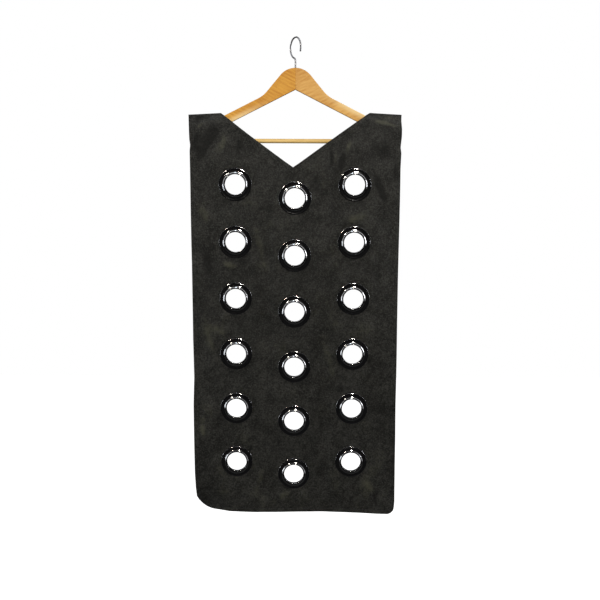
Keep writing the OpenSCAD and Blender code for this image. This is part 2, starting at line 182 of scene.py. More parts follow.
# %% Sizes of the folds, as in the packed solids
FOLD_DEPTH, FOLD_LENGTH = 4 * MM, 860 * MM
EDGE_WAVE, EDGE_LENGTH = 5 * MM, 450 * MM
HEM_WAVE, HEM_LENGTH = 3 * MM, 280 * MM
CORNER_CURL, CORNER_ZONE = 12 * MM, 80 * MM
ROW_GAP = 10 * MM
mid_out = column_pitch - FLAT_R
edge_in = column_pitch + FLAT_R
hem_zone = last_row_z - FLAT_R - hem_z
lean_in_x = seam_in_x - 6 * MM
print(f"folds {FOLD_DEPTH / MM:.0f} mm deep, {hem_zone / MM:.0f} mm of cloth below the last eyelets")


# %% Lean of the shoulders
def shoulder_top(x):
    """Height of the shoulder seam's top edge."""
    return corner_z - SHOULDER_FALL * np.clip((x - NECK_HALF) / (cover_half - NECK_HALF), 0, None)


def lean(x, z):
    """How far the shoulder has leaned back: 0 on the arm, 1 at the seam."""
    x = np.abs(x)
    on_arm = arm_top(np.maximum(x, lean_in_x))
    low = on_arm - WOOD_ROUND
    high = np.where(x < seam_in_x, on_arm + SEAM_LIFT, shoulder_top(x) - SEAM_H)
    t = np.clip((z - low) / (high - low), 0, 1)
    return t * t


print("lean at the shoulder's corner:", round(float(lean(NECK_HALF, corner_z)), 2))


# %% Main folds
def main_folds(x, z):
    """Long folds, edge waves, hem waves and the curled corner, as a depth along Y."""
    turn = 2 * np.pi
    out = np.abs(x)
    side = np.sign(x)
    down = smooth(-z, -pocket_z + ROW_GAP, -row_z + column_pitch / 2)
    across = np.clip((out - FLAT_R) / (mid_out - FLAT_R), 0, 1)
    between = np.sin(np.pi * across) ** 2
    outside = smooth(out, edge_in, cover_half + RIGHT_CORNER_R)
    low = smooth(-z, -hem_z - hem_zone, -hem_z)
    corner = np.clip(-x - cover_half + CORNER_ZONE, 0, None) / CORNER_ZONE
    corner = corner * np.clip(hem_z + hem_zone - z, 0, None) / hem_zone
    swell = 0.4 + 0.6 * np.sin(turn * z / FOLD_LENGTH + side * math.radians(70))
    wave = np.sin(turn * z / EDGE_LENGTH + side * math.radians(110))
    ripple = np.sin(turn * x / HEM_LENGTH + math.radians(20))
    return (down * between * FOLD_DEPTH * swell + down * outside * EDGE_WAVE * wave
            + low * HEM_WAVE * ripple + corner * CORNER_CURL * 2)


def base_y(x, z):
    """Front surface of the cover without its small creases."""
    return face_y + (seam_y - face_y) * lean(x, z) + main_folds(x, z)


print(f"front surface at the shoulder {float(base_y(0.19, corner_z)) / MM:.1f} mm,"
      f" at an eyelet {float(base_y(column_pitch, row_z)) / MM:.1f} mm")

# %% [markdown]
# ## The outline of the cover
# The outline is a V-shaped neck, two shoulders, two sides and a hem with rounded corners, one of
# them much rounder. Two functions of x give its upper and its lower edge. A list of points along
# it then tells how far any place lies from the edge, which the hem, the stitches and the puckers
# need.

# %% Upper and lower edge, and distance from the edge
def cover_top(x):
    """Upper edge of the cover: the neck's V, then the shoulder."""
    x = np.abs(x)
    return np.where(x < NECK_HALF, neck_z + x * neck_slope, shoulder_top(x))


def cover_hem(x):
    """Lower edge of the cover, with its two rounded corners."""
    r = np.where(x > 0, RIGHT_CORNER_R, LEFT_CORNER_R)
    past = np.clip(np.abs(x) - (cover_half - r), 0, r)
    return hem_z + r - np.sqrt(r * r - past * past)


def corner_arc(x, r, steps=10):
    """Points of a lower corner of radius r, from the hem out to the side."""
    angles = np.linspace(0, np.pi / 2, steps + 1)
    side = math.copysign(1, x)
    return [(x + side * r * (math.sin(a) - 1), hem_z + r * (1 - math.cos(a))) for a in angles]


outline = [(0, neck_z), (NECK_HALF, corner_z), (cover_half, shoulder_z)]
outline += corner_arc(cover_half, RIGHT_CORNER_R)[::-1]
outline += corner_arc(-cover_half, LEFT_CORNER_R)
outline += [(-cover_half, shoulder_z), (-NECK_HALF, corner_z)]


def edge_distance(x, z):
    """Distance of each point from the nearest stretch of the outline."""
    nearest = np.full(np.shape(x), 1.0)
    for (ax, az), (bx, bz) in zip(outline, outline[1:] + outline[:1]):
        dx, dz = bx - ax, bz - az
        t = np.clip(((x - ax) * dx + (z - az) * dz) / (dx * dx + dz * dz), 0, 1)
        nearest = np.minimum(nearest, np.hypot(x - ax - t * dx, z - az - t * dz))
    return nearest


print(f"outline of {len(outline)} points")

# %% [markdown]
# ## Creases
# Leatherette keeps the marks of handling: dents the size of a coin, a soft fold where the cover
# leaves the shoulder, drag lines at the neck, puckers round each pressed eyelet and small ripples
# where the hem was stitched. They are too small for the solids, but a glossy black surface
# shows every one of them, so they are real shape here and not only bump in the material.
#
# The folds also carry painted light and shade: a painted highlight on the ridges, painted shade
# in the valleys. So the same lines also give a number for each place, which the material reads later.

# %% Dents and fold lines
def dents(x, z, size, seed):
    """Smooth noise with dents of about that size, from -1 to 1."""
    places = np.stack([x / size, np.full_like(x, seed), z / size], axis=-1).reshape(-1, 3)
    values = np.array([noise.noise(Vector(p)) for p in places])
    return values.reshape(np.shape(x))


def hand_dents(x, z):
    """Dents that handling leaves."""
    return dents(x, z, 36 * MM, 3.1)


def hanging_dents(x, z):
    """Long dents that run downwards, from hanging."""
    return dents(x, z * 0.35, 48 * MM, 11.3)


def fold_line(x, z, start, end, width):
    """A soft ridge of that width along a line from start to end, fading at both ends."""
    (ax, az), (bx, bz) = start, end
    dx, dz = bx - ax, bz - az
    length = math.hypot(dx, dz)
    along = ((x - ax) * dx + (z - az) * dz) / length / length
    off = ((x - ax) * dz - (z - az) * dx) / length
    return np.exp(-(off / width) ** 2) * np.exp(-((along - 0.5) / 0.42) ** 4)


probe = np.array([-0.224, 0.0, 0.1]), np.array([-0.7, -0.6, -0.9])
print("dents at three places:", np.round(hand_dents(*probe), 2))

# %% Where the fold lines lie
# Start, end and width of each fold line, and its depth towards the front, in millimetres
FOLD_LINES = [
    ((-224, -169), (-176, -167), 9, -2.2),
    ((-166, -176), (-206, -248), 12, -3.6),
    ((-192, -204), (-210, -266), 8, -1.6),
    ((-188, -168), (-212, -190), 4, 1.8),
    ((-206, -196), (-222, -240), 8, -2.2),
    ((-150, -190), (-160, -240), 8, 1.8),
    ((-118, -204), (-124, -252), 8, -1.7),
    ((78, -228), (79, -272), 4, -2.4),
    ((88, -230), (86, -270), 4, 1.6),
    ((106, -234), (97, -274), 6, -2.4),
    ((119, -214), (110, -242), 5, 1.7),
    ((194, -176), (192, -262), 13, -1.7),
    ((216, -238), (219, -312), 7, -2.0),
    ((168, -278), (198, -348), 8, -2.6),
    ((160, -168), (226, -185), 4, 2.0),
    ((44, -280), (50, -332), 8, -1.4),
    ((156, -372), (116, -387), 9, 1.4),
    ((-216, -348), (-184, -386), 9, 1.0),
    ((-198, -442), (-187, -512), 12, -2.0),
    ((-162, -477), (-122, -489), 7, 1.7),
    ((-205, -560), (-180, -700), 9, 1.0),
    ((-190, -618), (-148, -642), 9, 0.9),
    ((-208, -844), (-204, -876), 6, 1.6),
    ((60, -640), (92, -760), 9, 0.8),
    ((196, -420), (178, -560), 9, -1.2),
    ((-90, -380), (-62, -500), 8, 0.9),
    ((58, -822), (63, -880), 7, -1.5),
    ((108, -862), (152, -874), 7, 1.1),
    ((60, -904), (71, -948), 6, 1.0),
    ((156, -970), (188, -1010), 7, 1.0),
    ((182, -1004), (193, -1048), 6, -2.0),
    ((-46, -1004), (-26, -1048), 6, -1.6),
    ((-6, -1000), (-52, -1036), 7, 1.0),
    ((-60, -930), (-96, -1030), 8, 1.0),
]


def fold_lines(x, z):
    """All fold lines together, as millimetres towards the front."""
    total = np.zeros_like(x)
    for start, end, width, depth in FOLD_LINES:
        start, end = [(px * MM, pz * MM) for px, pz in (start, end)]
        total += depth * fold_line(x, z, start, end, width * MM)
    return total


print(len(FOLD_LINES), "fold lines")

# %% Puckers, and all creases together
LIFT = 105 * MM              # how far the cover slides up off the arms
DEEPEST = 9 * MM             # the most that a crease goes back
ARM_CLEARANCE = 0.7 * MM     # the same, where the cloth slides past the arms
PUCKER_DEPTH = 0.55 * MM


def puckers(x, z):
    """Short ridges that run out from under each eyelet's ring."""
    total = np.zeros_like(x)
    for number, centre in enumerate(eyelets.values()):
        dx, dz = x - centre.x, z - centre.z
        r = np.hypot(dx, dz)
        fade = np.clip((r - FLAT_R) / (5 * MM), 0, 1) * np.exp(-np.clip(r - FLAT_R, 0, None) / (9 * MM))
        turn = np.arctan2(dz, dx)
        total += fade * (np.sin(5 * turn + 1.7 * number) + 0.7 * np.sin(9 * turn + 2.9 * number))
    return PUCKER_DEPTH * total


def flat_share(x, z):
    """0 under the eyelets' rings, 1 away from them."""
    share = np.ones_like(x)
    for centre in eyelets.values():
        r = np.hypot(x - centre.x, z - centre.z)
        share = np.minimum(share, smooth(r, FLAT_R, FLAT_R + 14 * MM))
    return share


def creases(x, z):
    """Small relief of the front, as a depth along Y."""
    edge = edge_distance(x, z)
    on_arm = 1 - 0.75 * smooth(z, pocket_z - 20 * MM, pocket_z + 20 * MM)
    relief = 1.3 * MM * hand_dents(x, z) + 0.6 * MM * dents(x, z, 15 * MM, 7.7)
    relief = (relief + 2.0 * MM * hanging_dents(x, z)) * smooth(edge, 6 * MM, 30 * MM)
    relief -= MM * fold_lines(x, z)
    run = (x + z * 0.9) / (11 * MM)
    ripple = np.sin(2 * np.pi * run + 2.5 * dents(x, z, 60 * MM, 5.5))
    hem = 0.6 * MM * ripple * np.exp(-((edge - HEM_W) / (5 * MM)) ** 2)
    total = (relief * flat_share(x, z) + puckers(x, z) + hem * flat_share(x, z)) * on_arm
    # Where the cloth slides past the arms as the cover is lifted, it keeps clear of them
    past_arms = smooth(z, foot_z - LIFT - 25 * MM, foot_z - LIFT)
    limit = slid(DEEPEST, ARM_CLEARANCE, past_arms)
    return np.where(total > 0, limit * np.tanh(total / limit), total)


print("creases at three places, mm:", np.round(creases(*probe) / MM, 2))

# %% Painted fold light and shade, hem relief and the finished surface
FOLD_SHADE_DEPTH = 1.9              # a fold this deep, in millimetres, gets the full painted highlight or painted shade
# painted shade along the cut edge, over its rounded turn: how dark, and how far in it reaches
EDGE_SHADE, EDGE_SHADE_W = 0.9, 2.2 * MM


def rubbed(x, z):
    """Painted light and shade: above 0 for a painted highlight on ridges, below 0 for painted shade in
    valleys and along the edge's turn.
    """
    share = fold_lines(x, z) / FOLD_SHADE_DEPTH - 0.45 * (hand_dents(x, z) + hanging_dents(x, z))
    return share - EDGE_SHADE * np.exp(-(edge_distance(x, z) / EDGE_SHADE_W) ** 2)


def hem_relief(edge):
    """The hem: a rounded edge, a raised band of doubled cloth and the line of stitches."""
    roll = 1.3 * MM
    rounding = roll - np.sqrt(roll ** 2 - np.clip(roll - edge, 0, roll) ** 2)
    band = -0.35 * MM * (1 - smooth(edge, HEM_W, HEM_W + 1.6 * MM))
    groove = 0.5 * MM * np.exp(-((edge - HEM_W) / (0.9 * MM)) ** 2)
    return rounding + band + groove


def draped_y(x, z):
    """Front surface of the cover with its creases, as the layers behind follow it."""
    return base_y(x, z) + creases(x, z)


def cover_y(x, z):
    """Front surface of the cover with all its relief."""
    return draped_y(x, z) + hem_relief(edge_distance(x, z))


print("relief at three places, mm:", np.round((cover_y(*probe) - base_y(*probe)) / MM, 2))

# %% Sway of the cut edges
# How far each side and the hem lie from a straight cut, in millimetres, at places along them
RIGHT_SWAY = [(-1060, 1), (-1030, 4), (-980, 3.8), (-880, 3), (-800, 1.4), (-620, 0.6), (-400, 0.9),
              (-272, 0.2), (-240, 1.4), (-228, -0.6), (-205, 1.6), (-190, 1.8), (-172, 0.2), (-155, 0.8)]
LEFT_SWAY = [(-1060, 2), (-1010, 3.6), (-960, 1.6), (-800, 1), (-735, 3), (-650, 1.4), (-480, 2),
             (-330, 0.8), (-236, 0.3), (-224, 1.6), (-212, 0), (-180, -1), (-155, -2)]
HEM_SWAY = [(-227, 6), (-170, 6.6), (-90, 5), (100, 4.2), (150, 3.8), (190, 2.2), (227, 1.6)]
NECK_SWAY_LEFT, NECK_SWAY_RIGHT = 5.5 * MM, 3.2 * MM
SHOULDER_DROP = 1.4 * MM
SIDE_REACH, HEM_REACH, NECK_REACH = 26 * MM, 70 * MM, 55 * MM


def sway(x, z):
    """How far hand cutting and hanging have moved a place of the cover, along X and along Z."""
    to_side = cover_half - np.abs(x)
    near_side = 1 - smooth(to_side, 0, SIDE_REACH)
    right, left = [np.interp(z / MM, *zip(*table)) * MM for table in (RIGHT_SWAY, LEFT_SWAY)]
    hem = np.interp(x / MM, *zip(*HEM_SWAY)) * MM
    below_neck = 1 - smooth(cover_top(x) - z, 0, NECK_REACH)
    neck = np.clip(1 - (x / NECK_HALF) ** 4, 0, 1) * below_neck
    neck_size = slid(NECK_SWAY_RIGHT, NECK_SWAY_LEFT, smooth(-x, -20 * MM, 20 * MM))
    low = 1 - smooth(z - hem_z, 0, HEM_REACH)
    on_shoulder = smooth(-x, NECK_HALF - 20 * MM, NECK_HALF) * below_neck
    return (near_side * np.where(x > 0, right, left) - neck * neck_size,
            low * hem - on_shoulder * SHOULDER_DROP)


print("sway at three places, mm:", np.round(np.array(sway(*probe)) / MM, 2).tolist())

# %% [markdown]
# ## Cloth from a grid
# A cut piece of cloth is flat and even, so each one starts as Blender's own grid. The grid's
# columns and rows are then slid to where the piece has its outline, closer together near the
# hem, where the cloth bends most, and pushed back and forth by the cover's function. A Solidify
# modifier gives it the thickness of the material.

# %% Helpers for grids and objects
def finish_mesh(name, bm):
    """Turns a bmesh into a smooth-shaded object."""
    mesh = bpy.data.meshes.new(name)
    for face in bm.faces:
        face.smooth = True
    bm.to_mesh(mesh)
    bm.free()
    piece = bpy.data.objects.new(name, mesh)
    bpy.context.scene.collection.objects.link(piece)
    return piece


def steps_between(start, end, step):
    """Even steps from start up to end, of about that size, without the end itself."""
    count = max(1, round(abs(end - start) / step))
    return list(np.linspace(start, end, count + 1)[:-1])


def grid_of(columns, rows_at):
    """A grid bmesh: rows_at(x) gives the heights of every row in the column at x."""
    columns = np.asarray(columns)
    heights = np.stack([rows_at(x) for x in columns])
    bm = bmesh.new()
    nx, nz = heights.shape[0] - 1, heights.shape[1] - 1
    bmesh.ops.create_grid(bm, x_segments=nx, y_segments=nz, size=1)
    for vert in bm.verts:
        i = round((vert.co.x + 1) / 2 * nx)
        j = round((vert.co.y + 1) / 2 * nz)
        vert.co = (columns[i], 0, heights[i, j])
    return bm


example = grid_of([0, 1, 2], lambda x: [0, 1])
print("a grid of three columns and two rows has", len(example.faces), "faces")
example.free()


# %% Push a grid into shape and give it a thickness
def push(bm, surface):
    """Moves a grid's vertices to the depth that surface(x, z) gives, and by the cover's sway."""
    x, z = np.array([(v.co.x, v.co.z) for v in bm.verts]).T
    for vert, y, dx, dz in zip(bm.verts, surface(x, z), *sway(x, z)):
        vert.co = (vert.co.x + dx, y, vert.co.z + dz)


def thicken(piece, thickness):
    """Solidify modifier that adds the thickness behind the surface, towards +Y."""
    mesh = piece.data
    facing = sum(polygon.normal.y * polygon.area for polygon in mesh.polygons)
    if facing > 0:
        mesh.flip_normals()
    wall = piece.modifiers.new("thickness", "SOLIDIFY")
    wall.thickness = thickness
    wall.offset = -1
    wall.use_even_offset = False


print(f"leatherette {FACE_T / MM} mm thick, lining {LINING_T / MM} mm")

# %% Lines of a cloth grid, and the eyelets' holes
# Distances from an edge at which a cloth grid has a line, close together over the hem
EDGE_LINES = [d * MM for d in (0, 0.25, 0.6, 1.1, 1.8, 3, 4.8, 6.6, 7.9, 9, 10.1, 11.6)]
EDGE_BAND = 13.5 * MM        # inside this distance the steps are even
CLOTH_STEP = 3.7 * MM


def cloth_columns(half, step):
    """Columns of the cover: close at both sides, and one at each corner of the neck."""
    left = [-half + d for d in EDGE_LINES]
    middle_part = steps_between(-half + EDGE_BAND, -NECK_HALF, step)
    middle_part += steps_between(-NECK_HALF, 0, step) + steps_between(0, NECK_HALF, step)
    middle_part += steps_between(NECK_HALF, half - EDGE_BAND, step)
    right = [half - d for d in [EDGE_BAND] + EDGE_LINES[::-1]]
    return left + middle_part + right


def cloth_rows(x, inset, step):
    """Heights of a column's rows, from the upper edge down to the hem."""
    top, hem = float(cover_top(x)) - inset, float(cover_hem(x)) + inset
    count = round((corner_z - hem_z) / step)
    between = np.linspace(top - EDGE_BAND, hem + EDGE_BAND, count)
    return np.concatenate([[top - d for d in EDGE_LINES], between,
                           [hem + d for d in EDGE_LINES[::-1]]])


def cut_eyelets(bm, reach):
    """Cuts a round hole for each eyelet. Its ring hides the cut."""
    for centre in eyelets.values():
        inside = [f for f in bm.faces
                  if math.hypot(*(f.calc_center_median() - centre).xz) < reach]
        bmesh.ops.delete(bm, geom=inside, context="FACES")
        for vert in bm.verts:
            away = Vector(((vert.co - centre).x, (vert.co - centre).z))
            if vert.is_boundary and away.length < 1.4 * reach:
                away = away.normalized() * reach
                vert.co.x, vert.co.z = centre.x + away.x, centre.z + away.y


print(len(cloth_columns(cover_half, CLOTH_STEP)), "columns in the front")

# %% [markdown]
# ## The cover's front
# The front is one sheet of leatherette, cut with a V at the neck and punched with eighteen holes.
# The grid is cut before it is pushed into its folds, because distances in the flat cut are those
# that the maker would have measured. Each point also keeps its painted light and shade, as an
# attribute of the mesh.

# %% Front sheet
HOLE_CUT_R = 26 * MM
bm = grid_of(cloth_columns(cover_half, CLOTH_STEP), lambda x: cloth_rows(x, 0, CLOTH_STEP))
cut_eyelets(bm, HOLE_CUT_R)
push(bm, cover_y)
cover_front = finish_mesh("cover_front", bm)
spots = np.array([v.co for v in cover_front.data.vertices])
# Painted light and shade of the folds and of the cut edge, kept on each point for the material
fold_shading_values = cover_front.data.attributes.new("rubbed", "FLOAT", "POINT")
fold_shading_values.data.foreach_set("value", rubbed(spots[:, 0], spots[:, 2]).astype(np.float32))
thicken(cover_front, FACE_T)
print(f"cover_front: {len(cover_front.data.polygons)} faces")

# %% [markdown]
# ## The lining and the turned hem
# From behind, one sees black backing cloth, and round its edge the leatherette that was turned
# over and stitched down. The lining is the same grid with wider steps. The turned hem is a strip
# bent along the outline: a grid whose rows run along the edge and whose columns run inwards.

# %% Lining
LINING_STEP = 5.5 * MM
LINING_INSET = 1.4 * MM
LINING_GAP = 0.1 * MM
lining_half = cover_half - LINING_INSET
bm = grid_of(cloth_columns(lining_half, LINING_STEP),
             lambda x: cloth_rows(x, LINING_INSET, LINING_STEP))
cut_eyelets(bm, HOLE_CUT_R)
push(bm, lambda x, z: draped_y(x, z) + FACE_T + LINING_GAP)
cover_lining = finish_mesh("cover_lining", bm)
thicken(cover_lining, LINING_T)
print(f"cover_lining: {len(cover_lining.data.polygons)} faces")

# %% Strips for the turned hem
TURN_W = 19 * MM
TURN_T = 0.8 * MM
TURN_INSET = 0.5 * MM
STRIP_STEP = 5 * MM
pocket_in_x = (pocket_z - neck_z) / neck_slope


def back_y(x, z):
    """Back of the lining, on which the turned hem lies."""
    return draped_y(x, z) + STACK_T + LINING_GAP


def strip(name, outer, inner):
    """A strip of leatherette between two rows of (x, z) places, on the back of the lining."""
    outer, inner = np.array(outer), np.array(inner)
    along, across = len(outer) - 1, 6
    bm = bmesh.new()
    bmesh.ops.create_grid(bm, x_segments=along, y_segments=across, size=1)
    for vert in bm.verts:
        i, t = round((vert.co.x + 1) / 2 * along), (vert.co.y + 1) / 2
        x, z = outer[i] * (1 - t) + inner[i] * t
        vert.co = (x, 0, z)
    bmesh.ops.remove_doubles(bm, verts=bm.verts, dist=0.02 * MM)
    push(bm, back_y)
    piece = finish_mesh(name, bm)
    thicken(piece, TURN_T)
    return piece


print(f"the neck's edge meets a pocket {pocket_in_x / MM:.1f} mm out")

# %% Turned hem
def side_rows(side, r):
    """Outer and inner places of the turned hem from a pocket down one side and round its corner."""
    edge, inside = cover_half - TURN_INSET, cover_half - TURN_W
    heights = steps_between(pocket_z - 2 * MM, hem_z + max(r, TURN_W), STRIP_STEP)
    outer = [(side * edge, z) for z in heights]
    inner = [(side * inside, z) for z in heights]
    for x, z in corner_arc(side * cover_half, r)[::-1]:
        centre = Vector((side * (cover_half - r), hem_z + r))
        out = (Vector((x, z)) - centre).normalized()
        outer.append(tuple(centre + out * (r - TURN_INSET)))
        near = centre + out * max(0, r - TURN_W)
        if r < TURN_W:
            near = Vector((side * inside, hem_z + TURN_W))
        inner.append(tuple(near))
    return outer, inner


right_outer, right_inner = side_rows(1, RIGHT_CORNER_R)
left_outer, left_inner = side_rows(-1, LEFT_CORNER_R)
across_hem = steps_between(cover_half - TURN_W, LEFT_CORNER_R - cover_half, STRIP_STEP)
turned_hem = strip(
    "turned_hem",
    right_outer + [(x, hem_z + TURN_INSET) for x in across_hem] + left_outer[::-1],
    right_inner + [(x, hem_z + TURN_W) for x in across_hem] + left_inner[::-1],
)
print(f"turned hem {len(turned_hem.data.polygons)} faces")


# %% Turned edge of the neck
def neck_rows(side):
    """Outer and inner places of the turned edge from the neck's tip up to a pocket."""
    down = Vector((math.sin(neck_angle) * side, -math.cos(neck_angle)))
    places = steps_between(0, side * (pocket_in_x - 2 * MM), STRIP_STEP)
    outer = [Vector((x, float(cover_top(x)))) + down * TURN_INSET for x in places]
    inner = [Vector((x, float(cover_top(x)))) + down * TURN_W for x in places]
    tip = TURN_W / math.cos(neck_angle)
    inner = [v if side * v.x > 0 else Vector((0, neck_z - tip)) for v in inner]
    return [tuple(v) for v in outer], [tuple(v) for v in inner]


left_rows, right_rows = neck_rows(-1), neck_rows(1)
turned_neck = strip("turned_neck", left_rows[0][::-1] + right_rows[0][1:],
                    left_rows[1][::-1] + right_rows[1][1:])
print(f"turned neck {len(turned_neck.data.polygons)} faces")

# %% [markdown]
# ## The shoulder pockets
# Behind each shoulder a piece of leatherette is sewn on along the shoulder and down the side. It
# makes a pocket, which the arm slides into, and both pockets together carry the whole cover. A
# pocket is the cover's surface moved back by the room that the arm needs. That room stays nearly
# up to the side seam, past the foot at the arm's tip, and closes there. The lower edge hangs open.

# %% Shape of a pocket
POCKET_STEP, POCKET_SEAM_STEP = 3.2 * MM, 1.5 * MM
POCKET_ROWS = 26
pocket_start = tip_x - arm_high.y - 1 * MM
pocket_end = cover_half - SIDE_SEAM


def pocket_y(x, z):
    """Inner surface of a pocket."""
    t = np.clip((np.abs(x) - pocket_start) / (pocket_end - pocket_start), 0, 1)
    room = (POCKET_Y - face_y - STACK_T) * (1 - lean(x, z)) * (1 - t ** 5)
    loose = 1.6 * MM * smooth(-z, -pocket_z - 34 * MM, -pocket_z) * (1 - t)
    wave = 0.5 + 0.5 * np.sin(np.abs(x) / (23 * MM))
    dent = 0.5 * MM * np.abs(dents(x, z, 26 * MM, 21.0)) * (1 - t) * (1 - lean(x, z))
    return base_y(x, z) + STACK_T + LINING_GAP + room + loose * wave + dent


def pocket_rows(x):
    """Heights of a pocket's rows in the column at x."""
    return np.linspace(float(cover_top(x)) - 0.3 * MM, pocket_z, POCKET_ROWS)


print(f"a pocket is {pocket_y(0.19, -0.19) / MM - face_y / MM:.1f} mm deep")


# %% Pockets
def pocket(side):
    """One shoulder pocket."""
    inner, outer = pocket_in_x + 1.5 * MM, cover_half - 0.3 * MM
    columns = steps_between(inner, NECK_HALF, POCKET_STEP)
    columns += steps_between(NECK_HALF, pocket_start, POCKET_STEP)
    columns += steps_between(pocket_start, outer, POCKET_SEAM_STEP) + [outer]
    bm = grid_of([side * x for x in columns], pocket_rows)
    push(bm, pocket_y)
    piece = finish_mesh("shoulder_pocket_" + ("right_skin" if side > 0 else "left_skin"), bm)
    thicken(piece, FACE_T)
    return piece


pocket_right, pocket_left = pocket(1), pocket(-1)

# %% [markdown]
# ## Stitches
# A row of stitches holds the hem and the seams. Each stitch is a short piece of thread that
# dives into the cloth at both ends, so a small stretched ball, half sunk in the surface, gives
# its shape. A loop walks along the outline and asks the cover's function for the depth and the
# slope of the cloth at each stitch.

# %% Rows of stitches
STITCH_PITCH = 4.0 * MM
STITCH_HALF = 1.5 * MM
STITCH_LIFT = 0.08 * MM      # how far a thread's middle stands above the cloth
THREAD_R = 0.28 * MM


def walk(path, pitch):
    """Places along a path of (x, z) points at even distances, with the direction of the path."""
    path = np.array(path)
    lengths = np.hypot(*np.diff(path, axis=0).T)
    total = lengths.sum()
    marks = np.linspace(0, total, max(2, round(total / pitch)) + 1)[:-1] + pitch / 2
    reached = np.concatenate([[0], np.cumsum(lengths)])
    x = np.interp(marks, reached, path[:, 0])
    z = np.interp(marks, reached, path[:, 1])
    stretch = np.clip(np.searchsorted(reached, marks) - 1, 0, len(lengths) - 1)
    return np.stack([x, z], axis=1), (np.diff(path, axis=0) / lengths[:, None])[stretch]


print(len(walk([(0, 0), (0, 0.1)], STITCH_PITCH)[0]), "stitches in 100 mm")


# %% Sew a row
def stitch_shape():
    """The mesh of one stitch: a small ball of radius 1."""
    bm = bmesh.new()
    bmesh.ops.create_uvsphere(bm, u_segments=6, v_segments=4, radius=1)
    mesh = bpy.data.meshes.new("stitch")
    bm.to_mesh(mesh)
    bm.free()
    return mesh


one_stitch = stitch_shape()


def stitch_row(bm, path, surface, lift):
    """Adds a stitch at each place of a path, on the surface y(x, z) moved along Y by lift."""
    places, along = walk(path, STITCH_PITCH)
    starts, ends = places - along * STITCH_HALF, places + along * STITCH_HALF
    in_place = []
    for x, z in (starts.T, ends.T):
        dx, dz = sway(x, z)
        in_place.append(np.stack([x + dx, surface(x, z) + lift, z + dz], axis=1))
    for start, end in zip(*in_place):
        start, end = Vector(start), Vector(end)
        turn = (end - start).to_track_quat("Z", "Y").to_matrix().to_4x4()
        size = Matrix.Diagonal((THREAD_R, THREAD_R, (end - start).length / 2, 1))
        stitch = one_stitch.copy()
        stitch.transform(Matrix.Translation((start + end) / 2) @ turn @ size)
        bm.from_mesh(stitch)
        bpy.data.meshes.remove(stitch)
    return len(places)


print(f"one stitch has {len(one_stitch.polygons)} faces")


# %% Paths of the stitches
def hem_path():
    """The hem's row of stitches: down one side, round the hem and up the other side."""
    side = cover_half - HEM_W
    path = [(side, shoulder_z - HEM_W)]
    for x, r in ((1, RIGHT_CORNER_R), (-1, LEFT_CORNER_R)):
        centre = Vector((x * (cover_half - r), hem_z + r))
        arc = [Vector(p) for p in corner_arc(x * cover_half, r)]
        arc = arc[::-1] if x > 0 else arc
        path += [tuple(centre + (p - centre) * ((r - HEM_W) / r)) for p in arc]
    return path + [(-side, shoulder_z - HEM_W)]


def neck_path(side):
    """The neck's row of stitches on one side, from the tip up to the shoulder corner."""
    drop = HEM_W / math.cos(neck_angle)
    return [(0, neck_z - drop), (side * (NECK_HALF - 0.3 * HEM_W), corner_z - drop + 0.6 * MM)]


def shoulder_path(side):
    """The shoulder seam's row of stitches."""
    drop = SEAM_H / 2
    ends = NECK_HALF + 1 * MM, cover_half - 2 * MM
    return [(side * x, float(shoulder_top(x)) - drop) for x in ends]


front_paths = [hem_path()] + [path(side) for side in (-1, 1) for path in (neck_path, shoulder_path)]
print(len(front_paths), "rows of stitches on the front")

# %% Stitches of the front and the back
bm = bmesh.new()
count = sum(stitch_row(bm, path, cover_y, -STITCH_LIFT) for path in front_paths)
front_stitches = finish_mesh("front_stitches", bm)

bm = bmesh.new()
below_pockets = [p for p in hem_path() if p[1] < pocket_z]
side_x = cover_half - HEM_W
below_pockets = [(side_x, pocket_z - 3 * MM)] + below_pockets + [(-side_x, pocket_z - 3 * MM)]
count += stitch_row(bm, below_pockets, back_y, TURN_T + STITCH_LIFT)
for side in (-1, 1):
    start, end = [Vector(p) for p in neck_path(side)]
    share = (pocket_in_x - 4 * MM) / abs(end.x)
    row = [tuple(start), tuple(start.lerp(end, share))]
    count += stitch_row(bm, row, back_y, TURN_T + STITCH_LIFT)
back_stitches = finish_mesh("back_stitches", bm)
print(count, "stitches on the front and the back")

# %% Stitches of the pockets
bm = bmesh.new()
for side in (-1, 1):
    in_x, low = pocket_in_x + 12 * MM, pocket_z + 7 * MM
    mouth = [(side * in_x, low), (side * (pocket_end - 1 * MM), low)]
    seam_x = side * (cover_half - SIDE_SEAM / 2)
    seam = [(seam_x, z) for z in (pocket_z + 1 * MM, shoulder_z - 3 * MM)]
    for path in (mouth, seam, shoulder_path(side)):
        count += stitch_row(bm, path, pocket_y, FACE_T + STITCH_LIFT)
pocket_stitches = finish_mesh("pocket_stitches", bm)
print(f"{count} stitches")

# %% [markdown]
# ## Eyelets
# An eyelet is pressed from sheet metal: a rounded lip round the hole, a funnel that falls away
# from it and a rolled rim that lies on the cloth. Its barrel goes through the cloth and is rolled
# over a washer at the back. All of that is one section turned about the hole's axis, so a spin
# makes it. The section is a closed line of arcs, and the spin joins its end to its start. Its
# slopes decide what each part of the ring mirrors: the funnel a dark band, the lip a thin bright
# line.

